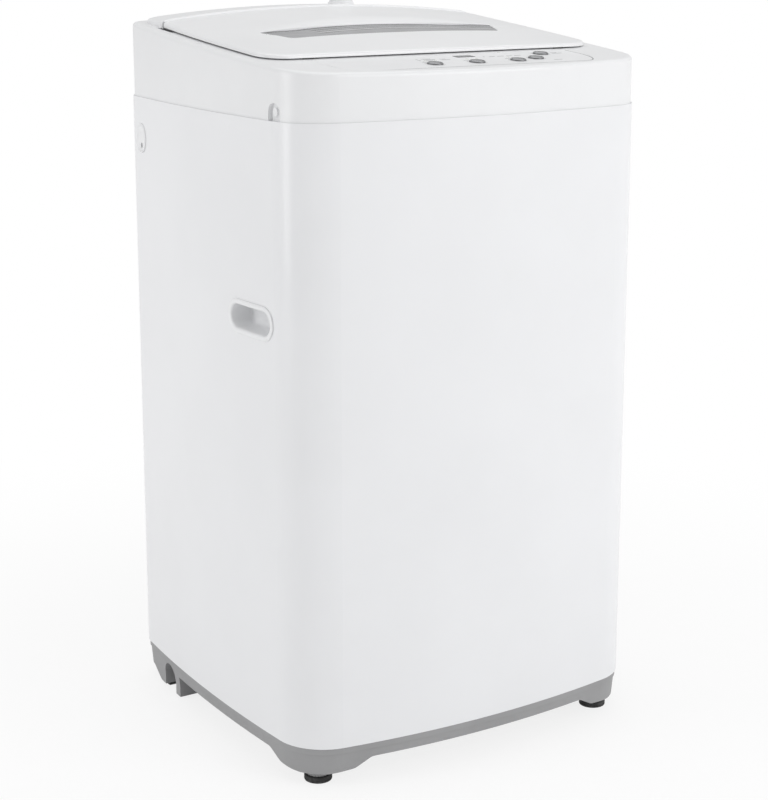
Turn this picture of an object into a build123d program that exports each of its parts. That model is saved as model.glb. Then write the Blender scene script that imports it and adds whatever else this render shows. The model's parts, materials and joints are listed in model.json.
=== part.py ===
from build123d import *

import math
import os

# Compact top load washing machine: case, lid, controls, hung tub, drive and pump.
# Millimetres. +Z is up, the front faces -Y, and the origin is on the floor under the middle of the case.

# Case
CASE_WIDTH = 430.0
CASE_DEPTH = 400.0
FRONT_BOW = 23.3
SIDE_BOW = 11.2
FRONT_CORNER_RADIUS = 54.0
REAR_CORNER_RADIUS = 25.0
SHEET = 1.2
BASE_TOP = 42.7
CABINET_HEIGHT = 622.9

# Base skirt and its legs
BASE_INSET = 2.0
BASE_TAPER = 2.5
BASE_WALL = 3.0
BASE_FLOOR = 3.5
BASE_FLOOR_DROP = 3.2
BASE_OPENING_RADIUS = 100.0
BASE_TONGUE = 5.0
LEG_BOTTOM = 14.0
ARCH_TOP = 26.5
FRONT_ARCH_TO_FOOT = 43.6
ARCH_RAMP = 18.0
ARCH_ROUND = 12.0
LEG_ROUND = 14.0
LEG_RISE = 2.5
LEG_REACH = 28.0
SIDE_ARCH_TO_FOOT = 42.0
REAR_LEG_BOTTOM = 3.0
REAR_LEG_FROM_BACK = 103.0
REAR_LEG_DEPTH = 79.0
REAR_LEG_WIDTH = 42.0
REAR_LEG_CHAMFER = 22.0
LEG_SLOT_SETBACK = 12.0
LEG_SLOT_WIDTH = 31.0
LEG_SLOT_TOP = 33.0
REAR_PAD = 15.0

# Levelling feet
FOOT_FROM_SIDE = 39.4
FOOT_FROM_FRONT = 46.0
FOOT_PAD_RADIUS = 14.3
FOOT_PAD_HEIGHT = 7.0
FOOT_COLLAR_RADIUS = 12.6
STUD_RADIUS = 5.0
FOOT_BOSS_WALL = 8.0

# Top frame, whose deck slopes up towards the back
FRAME_INSET = 1.5
FRAME_WALL = 2.5
FRAME_TONGUE = 10.0
RIM_FROM_FRONT = 4.0
RIM_RISE = 45.4
RIM_SLOPE = 0.085
RIM_ROUND = 4.0
DECK = 3.0
MOUTH_FROM_SIDE = 80.0
MOUTH_FROM_LID_FRONT = 11.0
MOUTH_FROM_SEAM = 40.5
MOUTH_CORNER = 70.0
COLLAR_WALL = 3.0
COLLAR_DROP = 8.6

# Lid, its window and its hinge
FASCIA_DEPTH = 97.0
SEAM_FROM_BACK = 71.5
LID_SIDE_INSET = 16.5
LID_CORNER = 28.0
LID_WALL = 2.5
LID_GAP = 1.4
LID_EDGE = 5.0
LID_EDGE_GAIN = 2.5
LID_CROWN = 11.3
LID_ROUND = 2.5
WINDOW_FROM_LID_FRONT = 79.0
WINDOW_LENGTH = 57.0
WINDOW_END = 34.0
WINDOW_FRONT_FROM_SIDE = 97.0
WINDOW_TIP_FROM_SIDE = 73.0
WINDOW_CORNER = 9.0
WINDOW_FRONT_DEPTH = 1.2
WINDOW_REAR_DEPTH = 4.5
WINDOW_SHEET = 2.5
WINDOW_FLANGE = 4.0
LIP_RUN = 22.0
LIP_EDGE = 1.5
HINGE_SETBACK = 16.0
HINGE_DROP = 14.0
HINGE_PIN_RADIUS = 2.5
HINGE_FROM_SIDE = 95.0
HINGE_LUG_RADIUS = 4.2
HINGE_LUG_HALF = 8.0
LID_LUG_WIDTH = 12.0
LID_LUG_RADIUS = 6.0
TROUGH_DEPTH = 19.0
TROUGH_FRONT = 12.5
SEAM_GAP = 0.8
BUFFER_FROM_SIDE = 65.0
BUFFER_LENGTH = 12.0

# Rear cover and water inlet
COVER_FROM_BACK = 10.0
COVER_CORNER = 22.0
COVER_WALL = 2.5
INLET_X = 45.0
INLET_FROM_BACK = 35.0
INLET_RADIUS = 13.2
INLET_BORE = 9.0
INLET_THREAD = 25.0
INLET_SHOULDER = 1.3
INLET_STAND = 2.0
VALVE_WIDTH = 44.0
VALVE_DEPTH = 36.0
VALVE_HEIGHT = 40.0
VALVE_RISE = 32.0
SPOUT_RADIUS = 9.0
SPOUT_WALL = 2.0
SPOUT_RISE = 9.0
COVER_HOLE_FROM_INLET = 33.0
COVER_HOLE_RADIUS = 6.0

# Control fascia
BUTTONS_FROM_EDGE = {
    "power_button": (106.5, 53.0),
    "start_button": (83.0, 29.0),
    "cycle_button": (56.0, 22.0),
    "level_button": (6.5, 22.0),
    "delay_button": (-43.0, 22.0),
}
BUTTON_RADIUS = 8.0
BUTTON_RISE = 1.8
BUTTON_TRAVEL = 1.2
BUTTON_FLANGE = 1.5
OVERLAY_FROM_FRONT = 17.0
OVERLAY_FROM_LID = 7.0
OVERLAY_FROM_SIDE = 63.0
OVERLAY_NOSE_RUN = 25.0
OVERLAY_SHEET = 0.6
NOSE_STRETCH = 1.8
NOSE_BULGE_X = 0.82
NOSE_BULGE_Y = 0.42
DISPLAY_X = 15.0
DISPLAY_FROM_EDGE = 58.0
DISPLAY_WIDTH = 22.0
DISPLAY_DEPTH = 11.0
LIGHT_RADIUS = 1.2
LIGHTS_FROM_EDGE = ((-43.0, 40.0), (-31.0, 40.0), (6.5, 40.0), (18.5, 40.0), (56.0, 40.0), (67.0, 71.0))
BOARD_HALF_DEPTH = 30.0
BOARD_SHEET = 1.6
BOARD_POST = 3.0
SWITCH_HEIGHT = 3.0
SWITCH_WIDTH = 6.0

# Side fittings
HANDLE_FROM_FRONT = 107.0
HANDLE_Z = 468.5
HANDLE_LENGTH = 84.0
HANDLE_HEIGHT = 35.0
HANDLE_RIM = 7.0
HANDLE_DEPTH = 24.0
HANDLE_WALL = 2.0
HANDLE_PROUD = 1.6
HOOK_FROM_BACK = 42.0
HOOK_Z = 622.0
HOOK_WIDTH = 26.0
HOOK_HEIGHT = 32.0
HOOK_HOLE = 3.0
HOOK_HOLE_DROP = 8.0
HOOK_PROUD = 1.5
HOOK_DEPTH = 8.0
HOOK_SEAT = 2.5
POCKET_FROM_FRONT = 62.5
POCKET_WIDTH = 19.0
POCKET_HEIGHT = 17.0
POCKET_DEPTH = 3.5
SCREW_HEAD_RADIUS = 4.2
SCREW_HEAD = 1.0
SCREW_RADIUS = 2.0
SCREW_LENGTH = 7.0

# Service panel in the back
PANEL_FROM_SIDE = 75.0
PANEL_BOTTOM = 8.0
PANEL_HEIGHT = 365.0
PANEL_SHEET = 2.2
PANEL_LAP = 12.0
OUTLET_FROM_PANEL_EDGE = 45.0
OUTLET_POCKET = 22.0
OUTLET_POCKET_DEPTH = 36.0
OUTLET_RADIUS = 11.0
OUTLET_BORE = 8.5
OUTLET_SHOULDER = 1.0
GLAND_FROM_PANEL_EDGE = 25.0
GLAND_RADIUS = 9.0
GLAND_BORE = 4.0

# Tub, hung on four rods
TUB_SIDE_GAP = 12.8
TUB_HANDLE_GAP = 9.0
TUB_WALL = 2.5
TUB_FLOOR = 4.0
TUB_TOP_GAP = 25.6
TUB_RING = 8.0
TUB_RING_LIP = 36.0
ROD_INSET_X = 52.0
ROD_INSET_Y = 54.0
ROD_RADIUS = 3.5
ROD_HEAD_RADIUS = 9.0
ROD_FOOT_RADIUS = 13.0
ROD_FOOT = 3.0
EAR_RISE = 36.0
EAR_THICK = 8.0
EAR_RADIUS = 16.0
CUP_RADIUS = 15.0
CUP_WALL = 2.1
CUP_HEIGHT = 41.0
SPRING_LENGTH = 78.0
SPRING_RADIUS = 10.5
SPRING_WIRE = 1.3
SPRING_TURNS = 7
BRACKET_DROP = 35.6
BRACKET_SHEET = 3.0
BRACKET_REACH = 85.0

# Basket and pulsator
BASKET_GAP = 16.0
BASKET_WALL = 1.2
BASKET_LIFT = 26.0
BASKET_HOLE_RADIUS = 2.5
BASKET_HOLE_ROWS = 6
BASKET_HOLES_PER_ROW = 12
BALANCE_HEIGHT = 34.0
BALANCE_DROP = 8.0
BALANCE_WIDTH = 30.0
HUB_RADIUS = 75.0
HUB_PLATE = 6.0
SPIN_TUBE_RADIUS = 15.0
PULSATOR_MARGIN = 14.0
PULSATOR_DISC = 5.0
PULSATOR_LIFT = 9.0
PULSATOR_CONE = 26.0
PULSATOR_VANES = 6
PULSATOR_VANE_HEIGHT = 14.0
PULSATOR_VANE_WIDTH = 16.0
VANE_MIDDLE_SHARE = 0.52
VANE_LENGTH_SHARE = 0.8
FILTER_WIDTH = 70.0
FILTER_HEIGHT = 120.0
FILTER_DEPTH = 13.0
FILTER_RISE = 150.0

# Drive under the tub
PULLEY_CLEARANCE = 32.5
PULLEY_WIDTH = 14.0
PULLEY_FLANGE = 2.0
DRIVE_DRUM = 54.0
MOTOR_DRUM = 20.0
FLANGE_RISE = 6.5
PULLEY_SPOKES = 5
SPOKE_HOLE_SHARE = 0.55
BELT = 5.0
MOTOR_X = 112.0
MOTOR_RADIUS = 50.0
MOTOR_HEIGHT = 66.0
MOTOR_LUG_RADIUS = 8.0
MOTOR_BOLT_CIRCLE = 46.0
MOTOR_SHAFT_RADIUS = 6.0
MOTOR_SHAFT_GRIP = 29.7
GEARBOX_RADIUS = 58.0
GEARBOX_WALL = 6.0
GEARBOX_HEIGHT = 84.0
GEARBOX_LIFT = 8.0
GEARBOX_FLANGE = 7.0
GEARBOX_FLANGE_RADIUS = 68.0
MOTOR_GAP = 2.3
NECK_RADIUS = 32.0
DRIVE_PLATE = 3.0
DRIVE_PLATE_HALF_DEPTH = 72.0
DRIVE_PLATE_LEFT = 80.0
DRIVE_PLATE_MARGIN = 55.0
TUB_BOSS = 19.0
TUB_BOSS_RADIUS = 9.0
SHAFT_RADIUS = 8.0
BEARING_RADIUS = 26.0
BEARING_HEIGHT = 12.0
LOWER_BEARING_RADIUS = 20.0
SEAL_RADIUS = 24.0

# Pump, sensor and small electrics
PUMP_FROM_BACK = 105.0
PUMP_RADIUS = 36.0
PUMP_MOTOR_RADIUS = 30.0
PUMP_MOTOR_HEIGHT = 35.5
PUMP_BOWL = 30.0
PUMP_WALL = 4.0
PUMP_INLET = 15.0
PUMP_PORT_RADIUS = 16.0
IMPELLER_RADIUS = 28.0
IMPELLER_SHAFT = 3.0
IMPELLER_VANES = 6
BELLOWS_WALL = 3.0
BELLOWS_RIB = 4.0
BELLOWS_RIBS = 6
SUMP_SPIGOT = 10.0
SENSOR_FROM_SIDE = 95.0
SENSOR_FROM_BACK = 35.0
SENSOR_RADIUS = 22.0
SENSOR_HEIGHT = 18.0
SENSOR_NOZZLE = 10.0
HOSE_RADIUS = 4.0
HOSE_WALL = 1.5
DRAIN_HOSE_WALL = 2.0
AIR_BELL_RISE = 38.0
CAPACITOR_FROM_SIDE = 85.0
CAPACITOR_FROM_BACK = 75.0
CAPACITOR_RADIUS = 18.0
CAPACITOR_HEIGHT = 66.0
LID_SWITCH_FROM_SIDE = 47.0
LID_SWITCH_FROM_LID_FRONT = 33.0
LID_SWITCH_HALF_WIDTH = 9.0
LID_SWITCH_HALF_DEPTH = 14.0
LID_SWITCH_HEIGHT = 12.0

# Clearances
RUNNING_FIT = 0.05
SLIDE_GAP = 0.3
SEAT_GAP = 0.1

# Places worked out from the sizes above
HALF_WIDTH = CASE_WIDTH / 2
HALF_DEPTH = CASE_DEPTH / 2
RIM_FRONT_Y = RIM_FROM_FRONT - HALF_DEPTH
LID_FRONT = FASCIA_DEPTH - HALF_DEPTH
LID_SEAM = HALF_DEPTH - SEAM_FROM_BACK
MOUTH_HALF_WIDTH = HALF_WIDTH - MOUTH_FROM_SIDE
MOUTH_FRONT = LID_FRONT + MOUTH_FROM_LID_FRONT
MOUTH_REAR = LID_SEAM - MOUTH_FROM_SEAM
WINDOW_FRONT = LID_FRONT + WINDOW_FROM_LID_FRONT
WINDOW_REAR = WINDOW_FRONT + WINDOW_LENGTH
WINDOW_END_Y = WINDOW_FRONT + WINDOW_END
WINDOW_HALF_FRONT = HALF_WIDTH - WINDOW_FRONT_FROM_SIDE
WINDOW_HALF_REAR = HALF_WIDTH - WINDOW_TIP_FROM_SIDE
HINGE_X = HALF_WIDTH - HINGE_FROM_SIDE
BUFFER_X = HALF_WIDTH - BUFFER_FROM_SIDE
COVER_REAR = HALF_DEPTH - COVER_FROM_BACK
INLET_Y = HALF_DEPTH - INLET_FROM_BACK
COVER_HOLE_X = INLET_X + COVER_HOLE_FROM_INLET
OVERLAY_FRONT = OVERLAY_FROM_FRONT - HALF_DEPTH
OVERLAY_REAR = LID_FRONT - OVERLAY_FROM_LID
OVERLAY_HALF = HALF_WIDTH - OVERLAY_FROM_SIDE
OVERLAY_NOSE = OVERLAY_HALF - OVERLAY_NOSE_RUN
DISPLAY_Y = OVERLAY_FRONT + DISPLAY_FROM_EDGE
FOOT_X = HALF_WIDTH - FOOT_FROM_SIDE
FOOT_Y = FOOT_FROM_FRONT - HALF_DEPTH
FRONT_ARCH_HALF = FOOT_X - FRONT_ARCH_TO_FOOT
SIDE_ARCH_FRONT = FOOT_Y + SIDE_ARCH_TO_FOOT
REAR_LEG_FRONT = HALF_DEPTH - REAR_LEG_FROM_BACK
LEG_SLOT_FRONT = REAR_LEG_FRONT + LEG_SLOT_SETBACK
HANDLE_Y = HANDLE_FROM_FRONT - HALF_DEPTH
HOOK_Y = HALF_DEPTH - HOOK_FROM_BACK
POCKET_Y = POCKET_FROM_FRONT - HALF_DEPTH
PANEL_HALF_WIDTH = HALF_WIDTH - PANEL_FROM_SIDE
OUTLET_X = OUTLET_FROM_PANEL_EDGE - PANEL_HALF_WIDTH
GLAND_X = PANEL_HALF_WIDTH - GLAND_FROM_PANEL_EDGE
PUMP_Y = HALF_DEPTH - PUMP_FROM_BACK
SENSOR_X = SENSOR_FROM_SIDE - HALF_WIDTH
SENSOR_Y = HALF_DEPTH - SENSOR_FROM_BACK
CAPACITOR_X = HALF_WIDTH - CAPACITOR_FROM_SIDE
CAPACITOR_Y = HALF_DEPTH - CAPACITOR_FROM_BACK
LID_SWITCH_X = HALF_WIDTH - LID_SWITCH_FROM_SIDE
LID_SWITCH_Y = LID_FRONT + LID_SWITCH_FROM_LID_FRONT
BUTTON_PLACES = {name: (x, OVERLAY_FRONT + rise) for name, (x, rise) in BUTTONS_FROM_EDGE.items()}
LIGHT_PLACES = [(x, OVERLAY_FRONT + rise) for x, rise in LIGHTS_FROM_EDGE]
SEAM_Z = BASE_TOP + CABINET_HEIGHT
BASE_FLOOR_TOP = BASE_TOP - BASE_FLOOR_DROP
RIM_FRONT_Z = SEAM_Z + RIM_RISE
SLOPE_ANGLE = math.atan(RIM_SLOPE)
SLOPE_LENGTH = math.hypot(1, RIM_SLOPE)
DECK_NORMAL = DECK / SLOPE_LENGTH
HINGE_Y = LID_SEAM - HINGE_SETBACK
PULLEY_Z = BASE_FLOOR_TOP + PULLEY_CLEARANCE
PULLEY_TOP = PULLEY_Z + PULLEY_WIDTH
GEARBOX_Z = PULLEY_TOP + GEARBOX_LIFT
PLATE_Z = GEARBOX_Z + GEARBOX_HEIGHT
PLATE_TOP = PLATE_Z + DRIVE_PLATE
TUB_Z = PLATE_TOP + TUB_BOSS
TUB_FLOOR_TOP = TUB_Z + TUB_FLOOR
TUB_TOP = SEAM_Z - TUB_TOP_GAP
HANDLE_REACH = math.hypot(HALF_WIDTH - HANDLE_DEPTH, HALF_DEPTH - HANDLE_FROM_FRONT - HANDLE_LENGTH / 2)
TUB_RADIUS = min(HALF_DEPTH - SHEET - TUB_SIDE_GAP, HANDLE_REACH - TUB_HANDLE_GAP)
BASKET_RADIUS = TUB_RADIUS - TUB_WALL - BASKET_GAP
BASKET_Z = TUB_Z + BASKET_LIFT
BALANCE_TOP = TUB_TOP - BALANCE_DROP
BASKET_TOP = BALANCE_TOP - BALANCE_HEIGHT
PULSATOR_Z = BASKET_Z + PULSATOR_LIFT
ROD_X = HALF_WIDTH - ROD_INSET_X
ROD_Y = HALF_DEPTH - ROD_INSET_Y
EAR_Z = TUB_Z + EAR_RISE
SPRING_Z = EAR_Z - (CUP_RADIUS - CUP_WALL - SPRING_RADIUS - SPRING_WIRE) - SPRING_LENGTH - CUP_WALL
BRACKET_Z = SEAM_Z - BRACKET_DROP
PANEL_Z = BASE_TOP + PANEL_BOTTOM
PANEL_OUTER_Y = HALF_DEPTH - SCREW_HEAD
PANEL_INNER_Y = PANEL_OUTER_Y - PANEL_SHEET
PUMP_X = OUTLET_X
PUMP_BOWL_Z = BASE_FLOOR_TOP + PUMP_MOTOR_HEIGHT
PUMP_BOWL_TOP = PUMP_BOWL_Z + PUMP_BOWL
PUMP_PORT_TOP = PUMP_BOWL_TOP + PUMP_INLET
OUTLET_Z = PUMP_BOWL_Z + PUMP_BOWL / 2
VALVE_Z = SEAM_Z + VALVE_RISE
SPOUT_Z = VALVE_Z + SPOUT_RISE
SWITCH_TOP = -(DECK_NORMAL + SLIDE_GAP + 2 * BUTTON_FLANGE + BUTTON_TRAVEL + SLIDE_GAP)
BOARD_TOP = SWITCH_TOP - SWITCH_HEIGHT
UNDER_LID = -2 * HINGE_DROP


# Helpers
def arc_radius(half_chord, bow):
    """Radius of the arc that bows out by bow over a chord of twice half_chord."""
    return (half_chord ** 2 + bow ** 2) / (2 * bow)


FRONT_RADIUS = arc_radius(HALF_WIDTH, FRONT_BOW)
SIDE_RADIUS = arc_radius(HALF_DEPTH, SIDE_BOW)


def block(x0, x1, y0, y1, z0, z1):
    """A box between two corners."""
    return Pos((x0 + x1) / 2, (y0 + y1) / 2, (z0 + z1) / 2) * Box(x1 - x0, y1 - y0, z1 - z0)


def disc(radius, z0, z1, x=0.0, y=0.0):
    """An upright cylinder."""
    return Pos(x, y, (z0 + z1) / 2) * Cylinder(radius, z1 - z0)


def ring(outer, inner, z0, z1, x=0.0, y=0.0):
    """An upright tube."""
    return disc(outer, z0, z1, x, y) - disc(inner, z0, z1, x, y)


def rod_along_y(radius, y0, y1, x, z):
    """A cylinder along Y."""
    return Pos(x, (y0 + y1) / 2, z) * Rot(90, 0, 0) * Cylinder(radius, y1 - y0)


def rod_along_x(radius, x0, x1, y, z):
    """A cylinder along X."""
    return Pos((x0 + x1) / 2, y, z) * Rot(0, 90, 0) * Cylinder(radius, x1 - x0)


def upright(sketch, z0, z1):
    """A plan carried up from z0 to z1."""
    return extrude(Plane.XY.offset(z0) * sketch, z1 - z0)


def along_y(sketch, y0, y1):
    """A profile in X and Z carried along Y."""
    return extrude(Plane.XZ.offset(-y1) * sketch, y1 - y0)


def along_x(sketch, x0, x1):
    """A profile in Y and Z carried along X."""
    return extrude(Plane.YZ.offset(x0) * sketch, x1 - x0)


def polygon(points):
    """A closed face through the points."""
    return make_face(Polyline(*points, close=True))


def both_sides(solid):
    """A solid and its twin across the middle of the case."""
    return solid + mirror(solid, about=Plane.YZ)


def outline(inset):
    """Plan of the case, set in: bowed front and sides, straight back, rounded corners."""
    plan = Pos(0, FRONT_RADIUS - HALF_DEPTH) * Circle(FRONT_RADIUS - inset)
    plan &= Pos(HALF_WIDTH - SIDE_RADIUS, 0) * Circle(SIDE_RADIUS - inset)
    plan &= Pos(SIDE_RADIUS - HALF_WIDTH, 0) * Circle(SIDE_RADIUS - inset)
    plan &= Pos(0, -HALF_DEPTH - inset) * Rectangle(2 * CASE_WIDTH, 2 * CASE_DEPTH)
    plan = fillet(plan.vertices().sort_by(Axis.Y)[:2], FRONT_CORNER_RADIUS - inset)
    return fillet(plan.vertices().sort_by(Axis.Y)[-2:], REAR_CORNER_RADIUS - inset)


def case_shell(outer_inset, inner_inset, z0, z1):
    """A wall that follows the case's plan."""
    return upright(outline(outer_inset) - outline(inner_inset), z0, z1)


def side_x(y, inset=0.0):
    """How far out the case's side is at y."""
    return HALF_WIDTH - SIDE_RADIUS + math.sqrt((SIDE_RADIUS - inset) ** 2 - y ** 2)


def deck_z(y):
    """Height of the sloped deck at y."""
    return RIM_FRONT_Z + RIM_SLOPE * (y - RIM_FRONT_Y)


DECK_PLANE = Plane(origin=(0, RIM_FRONT_Y, RIM_FRONT_Z), x_dir=(1, 0, 0),
                   z_dir=(0, -math.sin(SLOPE_ANGLE), math.cos(SLOPE_ANGLE)))


def on_deck(x, y, height=0.0):
    """A place on the deck, square to its slope."""
    return DECK_PLANE.location * Pos(x, (y - RIM_FRONT_Y) * SLOPE_LENGTH, height)


def deck_disc(radius, low, high, x, y):
    """A cylinder square to the deck, between two heights from it."""
    return on_deck(x, y, (low + high) / 2) * Cylinder(radius, high - low)


def deck_block(half_width, half_depth, low, high, x, y):
    """A box square to the deck, between two heights from it."""
    return on_deck(x, y, (low + high) / 2) * Box(2 * half_width, 2 * half_depth, high - low)


def below_deck(drop, z0):
    """All of the space under a plane that lies drop below the deck, down to z0."""
    far = 2 * CASE_DEPTH
    profile = polygon([(-far, deck_z(-far) - drop), (far, deck_z(far) - drop), (far, z0), (-far, z0)])
    return along_x(profile, -CASE_WIDTH, CASE_WIDTH)


def stadium(length, height):
    """A slot shape, long along its first axis."""
    return SlotOverall(length, height)


# Base
def make_base():
    skirt_low = Plane.XY.offset(LEG_BOTTOM) * outline(BASE_INSET + BASE_TAPER)
    skirt_high = Plane.XY.offset(BASE_TOP) * outline(BASE_INSET)
    hollow_low = Plane.XY.offset(LEG_BOTTOM) * outline(BASE_INSET + BASE_TAPER + BASE_WALL)
    hollow_high = Plane.XY.offset(BASE_TOP) * outline(BASE_INSET + BASE_WALL)
    skirt = loft([skirt_low, skirt_high], ruled=True) - loft([hollow_low, hollow_high], ruled=True)
    front_arch = arch_side(FRONT_ARCH_HALF)
    skirt -= along_y(front_arch + mirror(front_arch, about=Plane.YZ), -CASE_DEPTH, CASE_DEPTH)
    side_arch = mirror(arch_side(-SIDE_ARCH_FRONT), about=Plane.YZ)
    side_arch += polygon([
        (-SLIDE_GAP, ARCH_TOP), (REAR_LEG_FRONT, ARCH_TOP), (REAR_LEG_FRONT, 0), (-SLIDE_GAP, 0),
    ])
    skirt -= along_x(side_arch, -CASE_WIDTH, CASE_WIDTH)
    floor = upright(outline(BASE_INSET + BASE_WALL / 2), BASE_FLOOR_TOP - BASE_FLOOR, BASE_FLOOR_TOP)
    floor -= disc(BASE_OPENING_RADIUS, 0, BASE_TOP)
    tongue_inner = FRAME_INSET + BASE_WALL
    tongue = case_shell(FRAME_INSET, tongue_inner, BASE_FLOOR_TOP - BASE_FLOOR, BASE_TOP + BASE_TONGUE)
    body = skirt + floor + tongue
    body += both_sides(rear_leg())
    body -= both_sides(leg_slot())
    for x in (-FOOT_X, FOOT_X):
        body += disc(STUD_RADIUS + FOOT_BOSS_WALL, LEG_BOTTOM, BASE_FLOOR_TOP, x, FOOT_Y)
        body -= disc(STUD_RADIUS + RUNNING_FIT, 0, BASE_TOP, x, FOOT_Y)
    return body


def arch_side(half):
    """Half of an arch, from its middle to a leg: flat top, a bend each way, then a slope down to the leg's foot."""
    knee = half + ARCH_RAMP
    end = knee + LEG_REACH
    profile = polygon([
        (-SLIDE_GAP, ARCH_TOP), (half, ARCH_TOP), (knee, LEG_BOTTOM + LEG_RISE), (end, LEG_BOTTOM),
        (end, 0), (-SLIDE_GAP, 0),
    ])
    top = [corner for corner in profile.vertices() if abs(corner.X - half) < SLIDE_GAP]
    profile = fillet(top, ARCH_ROUND)
    foot = [corner for corner in profile.vertices() if abs(corner.X - knee) < SLIDE_GAP]
    return fillet(foot, LEG_ROUND)


def rear_leg():
    """Right rear leg: a block in the corner with a slanted back."""
    rear = REAR_LEG_FRONT + REAR_LEG_DEPTH
    profile = polygon([
        (REAR_LEG_FRONT, BASE_FLOOR_TOP), (REAR_LEG_FRONT, REAR_LEG_BOTTOM),
        (rear - REAR_LEG_CHAMFER, REAR_LEG_BOTTOM), (rear, REAR_LEG_BOTTOM + REAR_LEG_CHAMFER / 2),
        (rear, BASE_FLOOR_TOP),
    ])
    inner = side_x(rear) - REAR_LEG_WIDTH
    leg = along_x(profile, inner, CASE_WIDTH)
    return leg & upright(outline(BASE_INSET + BASE_TAPER), 0, BASE_TOP)


def leg_slot():
    """Arched slot through the right rear leg and the skirt outside it, between the leg's two ribs."""
    radius = LEG_SLOT_WIDTH / 2
    middle = LEG_SLOT_FRONT + radius
    arch_z = LEG_SLOT_TOP - radius
    slot = block(0, CASE_WIDTH, LEG_SLOT_FRONT, LEG_SLOT_FRONT + LEG_SLOT_WIDTH, -LEG_BOTTOM, arch_z)
    return slot + rod_along_x(radius, 0, CASE_WIDTH, middle, arch_z)


def make_rear_foot_pads():
    rear = REAR_LEG_FRONT + REAR_LEG_DEPTH - REAR_LEG_CHAMFER
    inner = side_x(REAR_LEG_FRONT + REAR_LEG_DEPTH) - REAR_LEG_WIDTH
    middle = inner + REAR_LEG_WIDTH / 2
    front = LEG_SLOT_FRONT + LEG_SLOT_WIDTH
    pad = block(middle - REAR_PAD, middle + REAR_PAD, front, rear, 0, REAR_LEG_BOTTOM)
    return both_sides(pad)


def make_foot_stud(x):
    """Threaded stud with the ridged collar that turns it."""
    collar_top = LEG_BOTTOM - SLIDE_GAP
    stud = disc(STUD_RADIUS, FOOT_PAD_HEIGHT, BASE_FLOOR_TOP, x, FOOT_Y)
    collar = upright(Pos(x, FOOT_Y) * RegularPolygon(FOOT_COLLAR_RADIUS, 12), FOOT_PAD_HEIGHT, collar_top)
    return stud + collar


def make_foot_pad(x):
    pad = disc(FOOT_PAD_RADIUS, 0, FOOT_PAD_HEIGHT, x, FOOT_Y)
    return fillet(pad.edges().group_by(Axis.Z)[-1], FOOT_PAD_HEIGHT / 4)


# Cabinet and what is let into it
def side_prism(sketch, y, z, reach_in, reach_out):
    """A profile set on the right side at y and z, carried inwards and outwards along the side's normal."""
    turn = math.asin(y / SIDE_RADIUS)
    outward = (math.cos(turn), math.sin(turn), 0)
    along = (-math.sin(turn), math.cos(turn), 0)
    plane = Plane(origin=(side_x(y), y, z), x_dir=along, z_dir=outward)
    return extrude(plane.offset(-reach_in) * sketch, reach_in + reach_out)


def make_cabinet():
    body = case_shell(0, SHEET, BASE_TOP, SEAM_Z)
    shelf_y = PANEL_INNER_Y - SEAT_GAP
    half = PANEL_HALF_WIDTH + SEAT_GAP
    low = PANEL_Z - SEAT_GAP
    high = PANEL_Z + PANEL_HEIGHT + SEAT_GAP
    tray = block(-half - SHEET, half + SHEET, shelf_y - SHEET, HALF_DEPTH, low - SHEET, high + SHEET)
    body += tray
    body -= block(-half, half, shelf_y, CASE_DEPTH, low, high)
    lap = PANEL_LAP
    body -= block(-half + lap, half - lap, 0, CASE_DEPTH, low + lap, high - lap)
    for x, z in panel_screw_places():
        body -= rod_along_y(SCREW_RADIUS + SEAT_GAP, 0, CASE_DEPTH, x, z)
    hole = stadium(HANDLE_LENGTH - HANDLE_RIM, HANDLE_HEIGHT - HANDLE_RIM)
    body -= both_sides(side_prism(hole, HANDLE_Y, HANDLE_Z, HANDLE_DEPTH, HANDLE_DEPTH))
    hook_oval = Ellipse(HOOK_WIDTH / 2 - HOOK_SEAT, HOOK_HEIGHT / 2 - HOOK_SEAT)
    body -= mirror(side_prism(hook_oval, HOOK_Y, HOOK_Z, HOOK_DEPTH, HOOK_DEPTH), about=Plane.YZ)
    return body


def make_handle():
    """Right handle: a rim that lies on the side and a cup behind it."""
    rim = side_prism(stadium(HANDLE_LENGTH, HANDLE_HEIGHT), HANDLE_Y, HANDLE_Z, HANDLE_DEPTH, HANDLE_DEPTH)
    rim &= case_shell(-HANDLE_PROUD, -SEAT_GAP, 0, SEAM_Z)
    wall = HANDLE_RIM + 2 * SLIDE_GAP
    cup = stadium(HANDLE_LENGTH - wall, HANDLE_HEIGHT - wall)
    cup = side_prism(cup, HANDLE_Y, HANDLE_Z, HANDLE_DEPTH, HANDLE_DEPTH)
    cup &= upright(outline(-HANDLE_PROUD), 0, SEAM_Z)
    wall += 2 * HANDLE_WALL
    hollow = stadium(HANDLE_LENGTH - wall, HANDLE_HEIGHT - wall)
    hollow = side_prism(hollow, HANDLE_Y, HANDLE_Z, HANDLE_DEPTH - HANDLE_WALL, HANDLE_DEPTH)
    return rim + cup - hollow


def make_hose_hook():
    """Left side: an oval plate with a hole for the hose's wire hook."""
    plate = side_prism(Ellipse(HOOK_WIDTH / 2, HOOK_HEIGHT / 2), HOOK_Y, HOOK_Z, HOOK_DEPTH, HOOK_DEPTH)
    plate &= case_shell(-HOOK_PROUD, -SEAT_GAP, 0, SEAM_Z)
    hole_z = HOOK_Z - HOOK_HOLE_DROP
    socket = side_prism(Circle(HOOK_HOLE + HANDLE_WALL), HOOK_Y, hole_z, HOOK_DEPTH, HOOK_PROUD)
    bore = side_prism(Circle(HOOK_HOLE), HOOK_Y, hole_z, HOOK_DEPTH - HANDLE_WALL, HOOK_DEPTH)
    return mirror(plate + socket - bore, about=Plane.YZ)


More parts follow.
